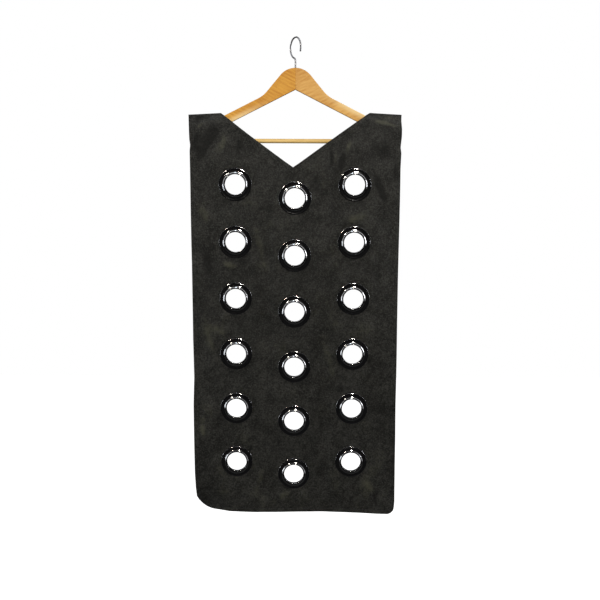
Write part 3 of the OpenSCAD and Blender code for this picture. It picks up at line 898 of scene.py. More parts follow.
# %% Sizes of an eyelet, and lines for its section
HOLE_R = 22 * MM
METAL_T = 0.8 * MM
LIP_H, LIP_R = 4.4 * MM, 1.9 * MM
IN_ROUND, OUT_ROUND, CROWN_W = 0.6 * MM, 1.2 * MM, 2.3 * MM
RIM_H, ROLL_R = 2.4 * MM, 2.1 * MM
RIM_ROUND, CORNER_R = 3.0 * MM, 0.45 * MM
RIM_FALL = 62                # degrees at which the rim's round meets its corner
RIM_EDGE, RIM_FLAT = 0.2 * MM, 1.6 * MM
WASHER_T, WASHER_R = 0.8 * MM, 34.5 * MM
WASHER_ROUND, WASHER_GAP = 0.35 * MM, 0.05 * MM
FLARE_R = 0.9 * MM


def arc(centre, r, start, end, steps):
    """Points (radius, height) along an arc. Angles are in degrees."""
    angles = np.radians(np.linspace(start, end, steps + 1))
    return [(centre[0] + r * math.cos(a), centre[1] + r * math.sin(a)) for a in angles]


def bezier(start, start_fall, start_pull, end, end_fall, end_pull, steps):
    """Points between two ends of a smooth curve that leaves and arrives at these falls, in degrees."""
    a, b = math.radians(start_fall), math.radians(end_fall)
    leave = start[0] + start_pull * math.cos(a), start[1] - start_pull * math.sin(a)
    arrive = end[0] - end_pull * math.cos(b), end[1] + end_pull * math.sin(b)
    ends = [Vector((*p, 0)) for p in (start, leave, arrive, end)]
    curve = interpolate_bezier(*ends, steps + 1)
    return [(p.x, p.y) for p in curve[1:-1]]


print(f"ring {2 * RING_R / MM:.1f} mm across, hole {2 * HOLE_R / MM:.1f}")

# %% Section of the front ring
lip = HOLE_R + LIP_R, LIP_H - LIP_R
roll = RING_R - ROLL_R, RIM_H - ROLL_R
back = STACK_T + WASHER_T
in_r = ROLL_R - METAL_T
dip_in = math.degrees(math.asin(roll[1] / in_r))
barrel_turn = math.degrees(math.asin((FLARE_R - METAL_T) / FLARE_R))
under_lip = math.degrees(math.acos((LIP_R - METAL_T) / LIP_R)) - 180
crown = arc((HOLE_R + IN_ROUND, LIP_H - IN_ROUND), IN_ROUND, 180, 90, 6)
crown += arc((HOLE_R + CROWN_W, LIP_H - OUT_ROUND), OUT_ROUND, 88, 42, 6)
rim_top = RING_R - RIM_EDGE - RIM_FLAT, RIM_H - RIM_ROUND
rim = arc(rim_top, RIM_ROUND, 105, RIM_FALL, 8)
corner_dir = math.radians(RIM_FALL)
corner = (rim[-1][0] - CORNER_R * math.cos(corner_dir),
          rim[-1][1] - CORNER_R * math.sin(corner_dir))
rim += arc(corner, CORNER_R, RIM_FALL - 6, 0, 6)
funnel = bezier(crown[-1], 48, 2.2 * MM, rim[0], -15, 4.5 * MM, 12)
ring_section = (
    [(HOLE_R, LIP_H - LIP_R)]
    + crown
    + funnel
    + rim
    + [(rim[-1][0], 0)]
    + arc(roll, in_r, -dip_in, 180 + dip_in, 8)
    + [(roll[0] - ROLL_R, 0), (roll[0] - ROLL_R, METAL_T / 3)]
    + arc(lip, LIP_R, -10, under_lip, 4)
    + arc((HOLE_R + FLARE_R, -back - FLARE_R), FLARE_R, 90 + barrel_turn, -180, 10)
)
print(f"section of {len(ring_section)} points")

# %% Spin a section
SPIN_STEPS = 96


def close_up(bm):
    """Merges a spin's or mirror's doubles and points all faces outwards."""
    bmesh.ops.remove_doubles(bm, verts=bm.verts, dist=0.001 * MM)
    bmesh.ops.recalc_face_normals(bm, faces=bm.faces)


def turned(name, section, centre):
    """Spins a closed section of (radius, height) points about an eyelet's axis."""
    bm = bmesh.new()
    verts = [bm.verts.new((r, -h, 0)) for r, h in section]
    edges = [bm.edges.new((a, b)) for a, b in zip(verts, verts[1:] + verts[:1])]
    bmesh.ops.spin(bm, geom=verts + edges, cent=(0, 0, 0), axis=(0, 1, 0), dvec=(0, 0, 0),
                   angle=2 * math.pi, steps=SPIN_STEPS, use_merge=True)
    close_up(bm)
    bmesh.ops.translate(bm, verts=bm.verts, vec=(centre.x, face_y, centre.z))
    return finish_mesh(name, bm)


def turned_all(name, section):
    """The same section spun at every eyelet."""
    return {(side, row): turned(f"{name}_{side}_{row}", section, centre)
            for (side, row), centre in eyelets.items()}


print(SPIN_STEPS, "steps round each ring")

# %% Rings and washers
washer_in = HOLE_R + METAL_T + WASHER_GAP
washer_section = (
    [(washer_in, -STACK_T), (WASHER_R - 0.1 * MM, -STACK_T)]
    + arc((WASHER_R - WASHER_ROUND, -STACK_T - WASHER_ROUND), WASHER_ROUND, 60, -60, 5)
    + [(WASHER_R - 2.4 * MM, -back), (washer_in, -back)]
)
rings, washers = turned_all("ring", ring_section), turned_all("back_ring", washer_section)
faces = len(rings["left", 1].data.polygons), len(washers["left", 1].data.polygons)
print(f"{len(rings)} rings of {faces[0]} faces, {len(washers)} washers of {faces[1]} faces")

# %% [markdown]
# ## The wooden arms
# Each arm is sawn from a board, so it is drawn as an outline and extruded to the board's
# thickness. Then its long edges are rounded with a router, which is a bevel here. The two arms
# are glued at the middle, where a fine line stays open. The outline runs over the dome, down its
# flank, through a hollow and along the straight arm to the foot that holds the bar.

# %% Outline of an arm
flank_x = DOME_R * math.sin(FLANK_SLOPE)
flank_z = wood_top_z - DOME_R * (1 - math.cos(FLANK_SLOPE))
meet_x = ((flank_z + flank_x * math.tan(FLANK_SLOPE) - apex_z - arm_rise)
          / (math.tan(FLANK_SLOPE) - math.tan(ARM_SLOPE)))
meet_z = arm_top(meet_x)
blend_reach = BLEND_R * math.tan((FLANK_SLOPE - ARM_SLOPE) / 2)
blend_in_x = meet_x - blend_reach * math.cos(FLANK_SLOPE)
blend_out_x = meet_x + blend_reach * math.cos(ARM_SLOPE)
blend_x = blend_in_x + BLEND_R * math.sin(FLANK_SLOPE)
blend_z = meet_z + blend_reach * math.sin(FLANK_SLOPE) + BLEND_R * math.cos(FLANK_SLOPE)


def arm_outline():
    """Points (x, z) round the right arm."""
    dome = [(DOME_R * math.sin(a), wood_top_z - DOME_R * (1 - math.cos(a)))
            for a in np.linspace(0, FLANK_SLOPE, 12)]
    hollow = [(x, blend_z - math.sqrt(BLEND_R ** 2 - (x - blend_x) ** 2))
              for x in np.linspace(blend_in_x, blend_out_x, 8)]
    quarter = np.linspace(0, math.pi / 2, 8)
    reach = [tip_x - TIP_R + TIP_R * math.sin(a) for a in quarter]
    drop = [TIP_R * (1 - math.cos(a)) for a in quarter]
    upper_tip = [(x, arm_top(x) - d) for x, d in zip(reach, drop)]
    lower_tip = [(x, foot_z + d) for x, d in zip(reach[::-1], drop[::-1])]
    step = []
    for t in np.linspace(1, 0, 9):
        x = foot_x + FOOT_STEP * (2 * t - 1)
        step.append((x, slid(arm_line(x), foot_z, t * t * (3 - 2 * t))))
    return dome + hollow + upper_tip + lower_tip + step + [(0, apex_z)]


print(f"arm outline of {len(arm_outline())} points")

# %% Extrude and round the arms
EDGE_STEPS = 6
JOINT_GROOVE = 0.35 * MM
FLAT_MARGIN = 0.4 * MM       # a narrow face round each flat keeps the shading of the rounds off it
TINY = MM / 10


def round_off(bm, edges, offset, steps, clamp=True):
    """Rounds edges with a bevel."""
    bmesh.ops.bevel(bm, geom=edges, offset=offset, offset_type="OFFSET", segments=steps,
                    profile=0.5, affect="EDGES", material=-1, clamp_overlap=clamp)


def arm(name, side):
    """One arm: outline, board, edges rounded with a router and a fine groove at the middle joint."""
    bm = bmesh.new()
    half_t = arm_high.y
    face = bm.faces.new([bm.verts.new((x, -half_t, z)) for x, z in arm_outline()])
    board = bmesh.ops.extrude_face_region(bm, geom=[face])
    moved = [v for v in board["geom"] if isinstance(v, bmesh.types.BMVert)]
    bmesh.ops.translate(bm, verts=moved, vec=(0, 2 * half_t, 0))
    bmesh.ops.recalc_face_normals(bm, faces=bm.faces)
    long_edges = [e for e in bm.edges
                  if abs(e.verts[0].co.y - e.verts[1].co.y) < TINY
                  and max(v.co.x for v in e.verts) > TINY]
    round_off(bm, long_edges, WOOD_ROUND, EDGE_STEPS)
    joint = [f for f in bm.faces if f.normal.x < -0.99 and f.calc_center_median().x < TINY]
    rim = {e for f in joint for e in f.edges if len([g for g in e.link_faces if g in joint]) == 1}
    round_off(bm, list(rim), JOINT_GROOVE, 2)
    flats = [f for f in bm.faces if abs(f.normal.y) > 0.999 and f.calc_area() > 1e-4]
    bmesh.ops.inset_region(bm, faces=flats, thickness=FLAT_MARGIN)
    if side < 0:
        bmesh.ops.scale(bm, vec=(-1, 1, 1), verts=bm.verts)
    close_up(bm)
    return finish_mesh(name, bm)


arm_right, arm_left = arm("wood_arm_right", 1), arm("wood_arm_left", -1)
print(f"arm: {len(arm_right.data.polygons)} faces")

# %% [markdown]
# ## The trouser bar
# The bar is a turned dowel with lightly broken ends. A cone operator with two equal radii draws
# it, and a bevel breaks the ends.

# %% Bar
BAR_ROUND = 0.8 * MM
bar_r = (bar_high.z - bar_low.z) / 2
bar_z = (bar_high.z + bar_low.z) / 2
bm = bmesh.new()
bmesh.ops.create_cone(bm, cap_ends=True, segments=64, radius1=bar_r, radius2=bar_r,
                      depth=bar_high.x - bar_low.x)
ends = [e for e in bm.edges if abs(e.verts[0].co.z - e.verts[1].co.z) < TINY]
round_off(bm, ends, BAR_ROUND, 3, clamp=False)
bmesh.ops.rotate(bm, verts=bm.verts, matrix=Matrix.Rotation(math.pi / 2, 3, "Y"))
bmesh.ops.translate(bm, verts=bm.verts, vec=(0, 0, bar_z))
bmesh.ops.recalc_face_normals(bm, faces=bm.faces)
round_bar = finish_mesh("round_bar", bm)
print(f"bar {2 * bar_r / MM:.1f} mm thick, {len(round_bar.data.polygons)} faces")

# %% [markdown]
# ## The wire hook
# A wire hook is bent from one rod, so its mesh is one circle taken along the rod's path: pushed
# up for the stem, spun round a small bend, spun on round the big loop, and closed with a round
# end. It is bent in the XZ plane and turned to where it points only at the end.

# %% Sizes of the hook
WIRE_R = 1.7 * MM
WIRE_SIDES = 20
HOOK_R = 20 * MM
BEND_R = 8 * MM
STEM_DEPTH = 21 * MM
HEAD_R, HEAD_H = 3.5 * MM, 2.2 * MM
MOUTH = math.radians(84)        # the opening, seen from the loop's middle
HOOK_TURN = math.radians(120)   # where the hook points, seen from above
END_ROUND = math.radians(80)    # the round at the wire's end stops just short of a point

loop_r = HOOK_R + WIRE_R
bend_reach = math.sqrt((loop_r + BEND_R) ** 2 - BEND_R ** 2)
bend_z = -HOOK_R - bend_reach
bend_turn = math.pi - math.atan2(bend_reach, -BEND_R)
loop_turn = 2 * math.pi - MOUTH
head_z = wood_top_z - STEM_DEPTH
print(f"wire {2 * WIRE_R / MM:.1f} mm thick, small bend at {bend_z / MM:.1f} mm")


# %% Extrude and spin a ring of edges
def newest(result):
    """Vertices and edges that an extrusion made."""
    geom = result["geom"]
    return ([g for g in geom if isinstance(g, bmesh.types.BMVert)],
            [g for g in geom if isinstance(g, bmesh.types.BMEdge)])


def push_ring(bm, edges, offset, scale=1.0):
    """Extrudes a ring of edges, moves it by offset and scales it about its own middle."""
    verts, edges = newest(bmesh.ops.extrude_edge_only(bm, edges=edges))
    bmesh.ops.translate(bm, verts=verts, vec=offset)
    centre = sum((v.co for v in verts), Vector()) / len(verts)
    for vert in verts:
        vert.co = centre + (vert.co - centre) * scale
    return edges


def spin_ring(bm, edges, centre, axis, angle, steps):
    """Spins a ring of edges about an axis and returns its last ring."""
    verts = list({v for e in edges for v in e.verts})
    result = bmesh.ops.spin(bm, geom=verts + edges, cent=centre, axis=axis, dvec=(0, 0, 0),
                            angle=angle, steps=steps, use_merge=False)
    return newest({"geom": result["geom_last"]})[1]


print(WIRE_SIDES, "sides round the wire")

# %% Bend the hook
bm = bmesh.new()
bmesh.ops.create_circle(bm, cap_ends=True, segments=WIRE_SIDES, radius=HEAD_R)
bmesh.ops.translate(bm, verts=bm.verts, vec=(0, 0, head_z - HEAD_H))
ring = push_ring(bm, list(bm.edges), (0, 0, HEAD_H))
ring = push_ring(bm, ring, (0, 0, 0), WIRE_R / HEAD_R)
ring = push_ring(bm, ring, (0, 0, bend_z - head_z))
ring = spin_ring(bm, ring, (BEND_R, 0, bend_z), (0, 1, 0), bend_turn, 14)
ring = spin_ring(bm, ring, (0, 0, -HOOK_R), (0, -1, 0), loop_turn, 60)
end_angle = loop_turn - bend_turn
heading = Vector((-math.sin(end_angle), 0, math.cos(end_angle)))
angles = np.linspace(0, END_ROUND, 6)
for low, high in zip(angles, angles[1:]):
    ahead = WIRE_R * (math.sin(high) - math.sin(low))
    ring = push_ring(bm, ring, heading * ahead, math.cos(high) / math.cos(low))
bmesh.ops.contextual_create(bm, geom=ring)
bmesh.ops.rotate(bm, verts=bm.verts, matrix=Matrix.Rotation(HOOK_TURN, 3, "Z"))
close_up(bm)
wire_hook = finish_mesh("wire_hook", bm)
spots = np.array([v.co for v in wire_hook.data.vertices]) / MM
print("hook box, mm:", np.round(spots.min(0), 1), np.round(spots.max(0), 1), "packed:",
      [round(v / MM, 1) for v in hook_low], [round(v / MM, 1) for v in hook_high])

# %% [markdown]
# ## Shader maths
# A material is a tree of nodes. Written out, each sum takes several lines. A small class that
# wraps a node's output lets Python's own signs add the nodes: with it, 1 - mask is a node too.
# One method adds any other kind of node. Noise scales are in waves per metre.

# %% A class for sockets
class Socket:
    """A node's output that takes part in Python expressions."""

    def __init__(self, finish, output):
        self.finish, self.output = finish, output

    def math(self, operation, *values):
        """Adds a Math node."""
        return self.finish.node("ShaderNodeMath", {"operation": operation}, dict(enumerate(values)))

    def __add__(self, other):
        return self.math("ADD", self, other)

    def __sub__(self, other):
        return self.math("SUBTRACT", self, other)

    def __rsub__(self, other):
        return self.math("SUBTRACT", other, self)

    def __mul__(self, other):
        return self.math("MULTIPLY", self, other)

    __radd__, __rmul__ = __add__, __mul__

    def between(self, start, end, low=0.0, high=1.0):
        """Maps start..end to low..high with soft ends."""
        return self.finish.node(
            "ShaderNodeMapRange", {"interpolation_type": "SMOOTHSTEP"},
            {"Value": self, "From Min": start, "From Max": end, "To Min": low, "To Max": high})

    def twins(self, *names):
        """Other outputs of the same node."""
        return [Socket(self.finish, self.output.node.outputs[name]) for name in names]


print("signs for sockets:", [name for name in vars(Socket) if name.startswith("__r")])


# %% A class for materials
class Finish:
    """A material, or the world, whose nodes are added one by one."""

    def __init__(self, owner):
        owner.use_nodes = True
        self.owner, self.tree = owner, owner.node_tree
        self.tree.nodes.clear()

    def node(self, kind, settings=None, inputs=None, out=0):
        """Adds a node: its settings come first, then values or links for its sockets."""
        made = self.tree.nodes.new(kind)
        for name, value in (settings or {}).items():
            setattr(made, name, value)
        for name, value in (inputs or {}).items():
            socket = made.inputs[name]
            if isinstance(value, Socket):
                self.tree.links.new(value.output, socket)
            else:
                socket.default_value = value
        return Socket(self, made.outputs[out]) if made.outputs else made

    def noise(self, place, scale, detail=3.0, rough=0.5):
        """Fractal noise of about 1 / scale metres."""
        return self.node("ShaderNodeTexNoise", None,
                         {"Vector": place, "Scale": scale, "Detail": detail, "Roughness": rough})

    def mix(self, factor, a, b):
        """Mixes two colours."""
        a, b = [(*c, 1) if isinstance(c, tuple) else c for c in (a, b)]
        return self.node("ShaderNodeMix", {"data_type": "RGBA"}, {0: factor, 6: a, 7: b}, out=2)

    def place(self, turn=(0, 0, 0), scale=(1, 1, 1)):
        """Object coordinates, turned and then scaled."""
        place = self.node("ShaderNodeTexCoord", out="Object")
        turned_place = self.node("ShaderNodeMapping", None, {"Vector": place, "Rotation": turn})
        return self.node("ShaderNodeMapping", None, {"Vector": turned_place, "Scale": scale})

    def bump(self, height, depth, under=None):
        """A bump of that depth in metres, on top of another one."""
        inputs = {"Height": height, "Distance": depth, "Strength": 1.0}
        if under:
            inputs["Normal"] = under
        return self.node("ShaderNodeBump", None, inputs)

    def surface(self, **sockets):
        """Ends the material with a Principled shader."""
        named = {name.replace("_", " "): value for name, value in sockets.items()}
        named = {n: (*v, 1) if isinstance(v, tuple) and len(v) == 3 else v for n, v in named.items()}
        shader = self.node("ShaderNodeBsdfPrincipled", None, named)
        self.node("ShaderNodeOutputMaterial", None, {"Surface": shader})
        return self.owner


def new_finish(name):
    """Starts a material."""
    return Finish(bpy.data.materials.new(name))


print("ways to add nodes:", [name for name in vars(Finish) if not name.startswith("_")])

# %% [markdown]
# ## Leatherette
# Leatherette is a thin skin of plastic with a pressed grain, on a cloth backing. Its relief has
# two layers: pebbles of a millimetre or two from Voronoi cells, and wrinkles and drag marks from
# noise. Its colour is nearly black, but handling has left pale smears and patches in it, grains of
# dust and dark specks. Last come the folds: the mesh's own attribute tells where a ridge gets a
# painted olive highlight and is smoother, and where a valley and the cut edge get painted shade and
# are duller.

# %% Leatherette finish
INKY, SMEARED = (0.0052, 0.0053, 0.0042), (0.0315, 0.0314, 0.0280)
# The speck colour also paints the shade in the valleys, and the olive one is a painted highlight on the
# ridges.
SPECK_AND_SHADE, DUST, PAINTED_SHEEN = (0.0024, 0.0024, 0.0019), (0.0430, 0.0430, 0.0390), (0.0600, 0.0600, 0.0400)


def leatherette():
    """Black skin with wear, and painted light and shade on its folds and edge."""
    f = new_finish("leatherette")
    place = f.place()
    cells = f.node("ShaderNodeTexVoronoi", {"feature": "DISTANCE_TO_EDGE"},
                   {"Vector": place, "Scale": 620.0, "Randomness": 0.9})
    pebbles = cells.between(0.0, 0.35)
    mottle = f.noise(place, 280.0, 3.0, 0.6)
    wrinkles = f.noise(place, 105.0, 5.0, 0.62)
    drags = f.noise(f.place((0, 0.35, 0), (1, 1, 0.28)), 90.0, 4.0, 0.6)
    patches = f.noise(place, 22.0, 4.0, 0.65).between(0.40, 0.64)
    smears = f.noise(f.place((0, -0.6, 0), (1, 1, 0.45)), 62.0, 4.0, 0.6).between(0.42, 0.62)
    grains = f.noise(place, 340.0, 2.0, 0.7)
    # Painted light and shade from the mesh's attribute: ridges get a paler olive painted highlight,
    # valleys painted shade.
    folds = f.node("ShaderNodeAttribute", {"attribute_name": "rubbed"}, out="Fac")
    frayed = folds + (wrinkles - 0.5) * 1.4
    ridge, valley = frayed.between(0.1, 1.2), (frayed * -1.0).between(0.1, 1.1)
    worn = patches * 0.5 + smears * 0.5
    colour = f.mix(worn, INKY, SMEARED)
    colour = f.mix(mottle.between(0.40, 0.60) * 0.8, colour, SPECK_AND_SHADE)
    colour = f.mix(grains.between(0.48, 0.64) * 0.62, colour, DUST)
    colour = f.mix(ridge * 0.7, colour, PAINTED_SHEEN)
    colour = f.mix(valley * 0.65, colour, SPECK_AND_SHADE)
    rough = mottle * 0.16 + 0.40 - worn * 0.08 - ridge * 0.08 + valley * 0.25
    normal = f.bump(wrinkles + drags * 0.8, 1.9 * MM)
    normal = f.bump(pebbles * 0.8 + mottle, 0.30 * MM, normal)
    return f.surface(Base_Color=colour, Roughness=rough, Normal=normal, Specular_IOR_Level=0.30)


finishes = {"leatherette": leatherette()}
print("leatherette:", len(finishes["leatherette"].node_tree.nodes), "nodes")

# %% [markdown]
# ## Backing cloth and thread
# The lining is a plain weave. Two sets of waves at right angles, each a yarn apart, cross in it,
# and it is rubbed paler in places. The thread is dull polyester, with the ribs of its twist.

# %% Lining and thread finishes
def backing_cloth():
    """Plain black weave."""
    f = new_finish("backing_cloth")
    place = f.place()
    warp, weft = [f.node("ShaderNodeTexWave", {"bands_direction": across},
                         {"Vector": place, "Scale": 340.0, "Distortion": 0.4}) for across in "XZ"]
    weave = warp * weft
    fuzz = f.noise(place, 60.0, 5.0, 0.7)
    rubs = f.noise(f.place((0, 0.2, 0), (1, 1, 0.4)), 26.0, 4.0, 0.6).between(0.35, 0.65)
    tone = weave * 0.4 + fuzz * 0.3 + rubs * 0.3
    colour = f.mix(tone, (0.010, 0.010, 0.011), (0.042, 0.042, 0.045))
    return f.surface(Base_Color=colour, Roughness=fuzz * 0.1 + 0.85,
                     Normal=f.bump(weave, 0.12 * MM), Sheen_Weight=0.15)


def sewing_thread():
    """Twisted polyester."""
    f = new_finish("sewing_thread")
    twist = f.node("ShaderNodeTexWave", {"bands_direction": "DIAGONAL"},
                   {"Vector": f.place(), "Scale": 900.0})
    colour = f.mix(twist, (0.018, 0.018, 0.019), (0.045, 0.045, 0.047))
    return f.surface(Base_Color=colour, Roughness=twist * 0.1 + 0.5,
                     Normal=f.bump(twist, 0.05 * MM))


finishes["lining"], finishes["thread"] = backing_cloth(), sewing_thread()
print(len(finishes), "finishes")

# %% [markdown]
# ## Varnished beech
# Beech is sawn along the arm, so its grain runs at the arm's slope and the two arms need mirrored
# patterns. Long streaks come from noise stretched along the grain, and beech's short dark flecks
# from a finer one. A thin clear coat stands for the satin varnish. The left arm is the more orange
# one, with straight grain. The right one is paler, with slanting growth lines. Both arms are paler
# towards their ends and get a painted highlight along one edge there, and all faces that turn
# downwards get painted shade.

# %% Wood finishes
# colour of the painted highlight along the arms' edges
PAINTED_HIGHLIGHT_WOOD = (0.92, 0.68, 0.33)


def varnished_wood(name, slope, pale, deep, line_turn=0.0, line_share=0.12, painted_highlight_edge=None):
    """Beech whose grain runs at that slope below X. Growth lines turn from it by line_turn.

    The last argument gives the heights on an arm at which a painted highlight along its edge starts and
    is full.
    """
    f = new_finish(name)
    along = f.place((0, slope, 0), (1, 6, 9))
    streaks = f.noise(along, 26.0, 5.0, 0.55)
    pores = f.noise(f.place((0, slope, 0), (1, 20, 26)), 60.0, 4.0, 0.7)
    flecks = pores.between(0.6, 0.72)
    bent = f.place((0, slope + line_turn, 0), (0.35, 1, 1))
    lines = f.node("ShaderNodeTexWave", {"bands_direction": "Z", "wave_profile": "SIN"},
                   {"Vector": bent, "Scale": 44.0, "Distortion": 2.6, "Detail": 3.0,
                    "Detail Scale": 2.0, "Detail Roughness": 0.6})
    growth = lines.between(0.2, 1.0)
    clouds = f.noise(f.place((0, slope, 0), (0.5, 1, 1)), 22.0, 3.0)
    out_x, height = f.node("ShaderNodeSeparateXYZ", None, {0: f.place()}).twins("X", "Z")
    ends = (out_x * out_x).between(0.03 ** 2, 0.12 ** 2)
    tone = streaks.between(0.3, 0.75) * 0.6 + growth * line_share + clouds.between(0.35, 0.7) * 0.45
    colour = f.mix(tone - ends * 0.25, pale, deep)
    colour = f.mix(flecks * 0.3, colour, tuple(c * 0.6 for c in deep))
    # Painted highlight: one edge of each arm turns pale towards its end.
    if painted_highlight_edge:
        out = out_x.math("ABSOLUTE", out_x)
        above = (height - apex_z) * math.cos(ARM_SLOPE) + out * math.sin(ARM_SLOPE)
        colour = f.mix(above.between(*painted_highlight_edge) * ends * 0.75, colour, PAINTED_HIGHLIGHT_WOOD)
    # Painted shade: faces turned downwards darken towards the deep colour.
    facing = f.node("ShaderNodeSeparateXYZ", None,
                    {0: f.node("ShaderNodeNewGeometry", out="Normal")}, out="Z")
    painted_underside_shade = (facing * -1.0).between(0.25, 0.8)
    colour = f.mix(painted_underside_shade * 0.75, colour, tuple(c * 0.25 for c in deep))
    normal = f.bump(pores * -1.0 + streaks * 0.3, 0.008 * MM)
    return f.surface(Base_Color=colour, Roughness=streaks * 0.12 + 0.46, Normal=normal,
                     Coat_Weight=0.10, Coat_Roughness=0.50, Specular_IOR_Level=0.26)


finishes["left_wood"] = varnished_wood("orange_beech", -ARM_SLOPE, (0.74, 0.37, 0.050),
                                       (0.46, 0.16, 0.010), painted_highlight_edge=(0.013, 0.002))
finishes["right_wood"] = varnished_wood("pale_beech", ARM_SLOPE, (0.77, 0.44, 0.125),
                                        (0.54, 0.24, 0.042), math.radians(-16), 0.16,
                                        painted_highlight_edge=(0.006, 0.017))
finishes["bar_wood"] = varnished_wood("bar_beech", 0.0, (0.86, 0.60, 0.24), (0.66, 0.42, 0.13))
print(len(finishes), "finishes")

# %% [markdown]
# ## Metals
# The eyelets are plated in black nickel, which is a mirror that gives back only a part of the
# light. The hook is chromed wire gone a little dull, and the brads are plain steel. Each still
# varies a little: faint swirls from polishing break up a perfect mirror.

# %% Metal finishes
def plated(name, dark, light, rough, swirl, depth):
    """Polished metal whose plating varies between two colours."""
    f = new_finish(name)
    cloud = f.noise(f.place(), 45.0, 3.0)
    hairs = f.noise(f.place(scale=(1, 1, 5)), swirl, 4.0, 0.6)
    return f.surface(Base_Color=f.mix(cloud, dark, light), Metallic=1.0,
                     Roughness=hairs * 0.06 + cloud * 0.04 + rough,
                     Normal=f.bump(hairs, depth))


# Finish, material, darker and lighter colour, roughness, swirls and their depth in millimetres
METALS = [
    ("black_nickel", "black_nickel", (0.34, 0.34, 0.35), (0.44, 0.44, 0.45), 0.05, 300.0, 0.015),
    ("chrome", "hook_chrome", (0.28, 0.28, 0.30), (0.36, 0.36, 0.38), 0.32, 400.0, 0.004),
    ("steel", "brad_steel", (0.52, 0.52, 0.53), (0.62, 0.62, 0.63), 0.25, 500.0, 0.02),
]
for finish, *sizes, depth in METALS:
    finishes[finish] = plated(*sizes, depth * MM)
print(len(finishes), "finishes")

# %% [markdown]
# ## Put the pieces on their bodies
# A finished piece takes its finish, rides on the body that its packed node belongs to and hides
# that node. Two kinds of packed node stay: the dowel inside the joint and the brads, which have
# the right shape already and only take a finish.

# %% Dress and attach each piece
def attach(piece, body, finish, slot, *nodes):
    """Gives a piece its finish and its body, and hides the packed nodes it stands for."""
    piece.data.materials.clear()
    piece.data.materials.append(finishes[finish])
    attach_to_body(piece, body)
    if nodes:
        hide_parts(*nodes)


print(len(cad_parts), "packed nodes to dress")

# %% Pieces of the cover
attach(cover_front, "cover", "leatherette", "leatherette", "panel_front")
attach(cover_lining, "cover", "lining", "lining", "panel_lining")
attach(pocket_left, "cover", "leatherette", "leatherette", "shoulder_pocket_left")
attach(pocket_right, "cover", "leatherette", "leatherette", "shoulder_pocket_right")
for piece in (turned_hem, turned_neck):
    attach(piece, "cover", "leatherette", "leatherette")
for piece in (front_stitches, back_stitches, pocket_stitches):
    attach(piece, "cover", "thread", "leatherette")
for (side, row), ring in rings.items():
    attach(ring, "cover", "black_nickel", "black_nickel", f"eyelet_{side}_{row}")
    attach(washers[side, row], "cover", "black_nickel", "black_nickel", f"washer_{side}_{row}")

# %% Pieces of the hanger, and the hook
attach(arm_left, "hanger", "left_wood", "hanger_wood", "hanger_arm_left")
attach(arm_right, "hanger", "right_wood", "hanger_wood", "hanger_arm_right")
attach(round_bar, "hanger", "bar_wood", "bar_wood", "trouser_bar")
attach(wire_hook, "hook", "chrome", "hook_steel", "hook")
KEPT_NODES = {"joint_dowel": "bar_wood", "bar_pin_left": "steel", "bar_pin_right": "steel"}
for node, finish in KEPT_NODES.items():
    for material_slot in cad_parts[node].material_slots:
        material_slot.material = finishes[finish]

# %% [markdown]
# ## The cloth and the pieces on it
# The cover, its lining and the pockets are sheets: each was cut flat before it was hung. The
# other pieces on the cover are gathered in one list. The
# declared size is the cut's, and the area leaves out the neck and the eyelets' holes.

# %% Pieces that ride on the cover
on_cover = [turned_hem, turned_neck, front_stitches, back_stitches, pocket_stitches]
on_cover += list(rings.values()) + list(washers.values())

# %% [markdown]
# ## Camera
# The photograph was taken from about two metres away, from a little above the cover's middle. A
# long lens looks down at the cover by nine and a half degrees. The picture's middle isn't the
# lens's middle, since it was cropped, and the camera's shift follows that.

# %% Camera
PICTURE = 600
FOCAL_PX = 900.2
CENTRE_PX = 294.5, 303.4
DISTANCE = 2.0
TILT = math.radians(9.5)
ROLL = math.radians(0.24)
TARGET = Vector((0, 0, -0.5698))

camera_data = bpy.data.cameras.new("camera")
camera_data.sensor_width = 36
camera_data.lens = FOCAL_PX * camera_data.sensor_width / PICTURE
camera_data.shift_x = (PICTURE / 2 - CENTRE_PX[0]) / PICTURE
camera_data.shift_y = (CENTRE_PX[1] - PICTURE / 2) / PICTURE
camera = bpy.data.objects.new("camera", camera_data)
bpy.context.scene.collection.objects.link(camera)
camera.location = TARGET + Vector((0, -math.cos(TILT), math.sin(TILT))) * DISTANCE
aim = (TARGET - camera.location).to_track_quat("-Z", "Y").to_matrix()
camera.rotation_euler = (aim @ Matrix.Rotation(ROLL, 3, "Z")).to_euler()
bpy.context.scene.camera = camera
print("camera at", [round(v, 3) for v in camera.location], f"lens {camera_data.lens:.2f} mm")

# %% [markdown]
# ## Floor, light and background
# The photograph's background is pure white. A white wall would light the metal as well, so the
# world gives the white to the camera instead. The floor lies where it does under a hanger on a
# rail. It is pale, reads white to the camera and keeps the object's shadow.
#
# The real rings mirror dark surroundings with light at both sides. So mirror rays see a dark
# floor, and a white world only level with the sides, which draws a thin bright line on the left
# and right of each ring. Two small lamps in front make the bright spots on the rings. The other
# lamps stand round the object and light its sides, its top and its back.

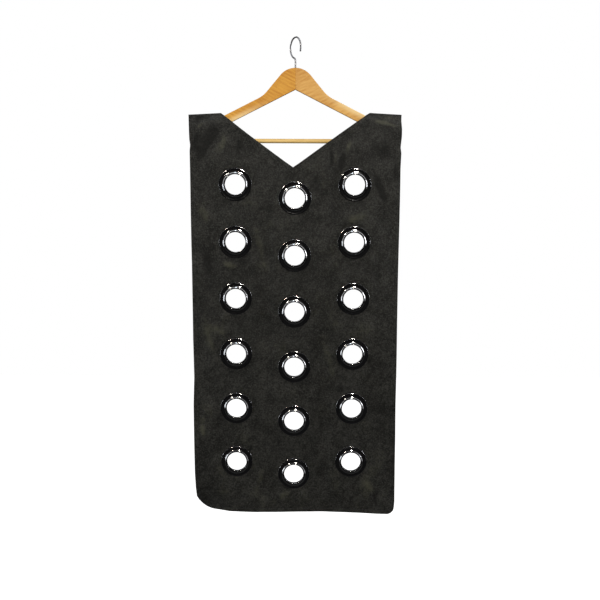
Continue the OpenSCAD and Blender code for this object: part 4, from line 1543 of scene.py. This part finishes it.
# %% Floor
FLOOR_Z = -1.75
bm = bmesh.new()
bmesh.ops.create_grid(bm, x_segments=8, y_segments=8, size=2.5)
bmesh.ops.translate(bm, verts=bm.verts, vec=(0, 1.5, FLOOR_Z))
floor = finish_mesh("floor", bm)
f = new_finish("pale_floor")
ray, mirrored = f.node("ShaderNodeLightPath").twins("Is Camera Ray", "Is Glossy Ray")
speckle = f.noise(f.place(), 3.0, 2.0)
floor_colour = f.mix(speckle, (0.80, 0.80, 0.80), (0.83, 0.83, 0.83))
floor_colour = f.mix(mirrored * 0.97, floor_colour, (0.02, 0.02, 0.02))
diffuse = f.node("ShaderNodeBsdfDiffuse", None, {"Color": floor_colour})
glow = f.node("ShaderNodeEmission", None, {"Color": (1, 1, 1, 1), "Strength": 0.75})
both = f.node("ShaderNodeAddShader", None, {0: diffuse, 1: glow})
shown = f.node("ShaderNodeMixShader", None, {0: ray, 1: diffuse, 2: both})
f.node("ShaderNodeOutputMaterial", None, {"Surface": shown})
floor.data.materials.append(f.owner)
floor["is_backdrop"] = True
print("floor at", FLOOR_Z)

# %% World
world = bpy.data.worlds.new("studio")
bpy.context.scene.world = world
w = Finish(world)
seen, glossy, through = w.node("ShaderNodeLightPath").twins(
    "Is Camera Ray", "Is Glossy Ray", "Is Transmission Ray")
direction = w.node("ShaderNodeTexCoord", out="Generated")
ahead, up = w.node("ShaderNodeSeparateXYZ", None, {0: direction}).twins("Y", "Z")
at_sides = ahead.math("ABSOLUTE", ahead).between(0.20, 0.42, 1.0, 0.0) * up.between(-0.34, -0.16)
AMBIENT, MIRRORED_ROOM = 0.38, 0.010
mirrored = glossy + through
strength = seen + mirrored * (at_sides * (1 - MIRRORED_ROOM) + MIRRORED_ROOM)
strength = strength + (1 - seen) * (1 - mirrored) * AMBIENT
background = w.node("ShaderNodeBackground", None, {"Color": (1, 1, 1, 1), "Strength": strength})
w.node("ShaderNodeOutputWorld", None, {"Surface": background})
print("world:", len(world.node_tree.nodes), "nodes")

# %% Lamps
# Name, place, size, watts and colour of each soft lamp
LAMPS = [
    ("key", (0.42, -2.45, 1.06), (0.38, 0.28), 34, (1.0, 0.95, 0.85)),
    ("second", (-1.25, -2.35, 0.80), (0.26, 0.26), 11, (1.0, 0.93, 0.80)),
    ("top", (-0.20, -0.50, 1.45), (0.30, 0.30), 3, (0.84, 0.92, 1.0)),
    ("right", (1.90, 0.00, -0.20), (0.50, 1.00), 16, (0.95, 0.97, 1.0)),
    ("left", (-1.75, -0.70, -0.75), (0.35, 0.80), 5, (0.92, 0.97, 1.0)),
    ("behind", (-0.70, 2.40, 1.20), (0.90, 0.60), 12, (1.0, 0.98, 0.95)),
]
for name, where, (width, height), watts, colour in LAMPS:
    lamp = bpy.data.lights.new(name, "AREA")
    lamp.shape, lamp.size, lamp.size_y = "RECTANGLE", width, height
    lamp.energy, lamp.color = watts, colour
    holder = bpy.data.objects.new(name, lamp)
    bpy.context.scene.collection.objects.link(holder)
    holder.location = where
    holder.rotation_euler = (TARGET - holder.location).to_track_quat("-Z", "Y").to_euler()
bpy.context.scene.view_settings.view_transform = "Standard"
print(len(LAMPS), "lamps")

# %% [markdown]
# ## Sizes before and after
# The sizes before and after are gathered, so that the dressed model can be compared with the
# packed one.

# %% Gather the sizes and finish
shown_low, shown_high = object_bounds()
sizes = {"cad": [list(packed_low), list(packed_high)], "visual": [list(shown_low), list(shown_high)]}
print("shown box", [round(v / MM) for v in shown_low], [round(v / MM) for v in shown_high])
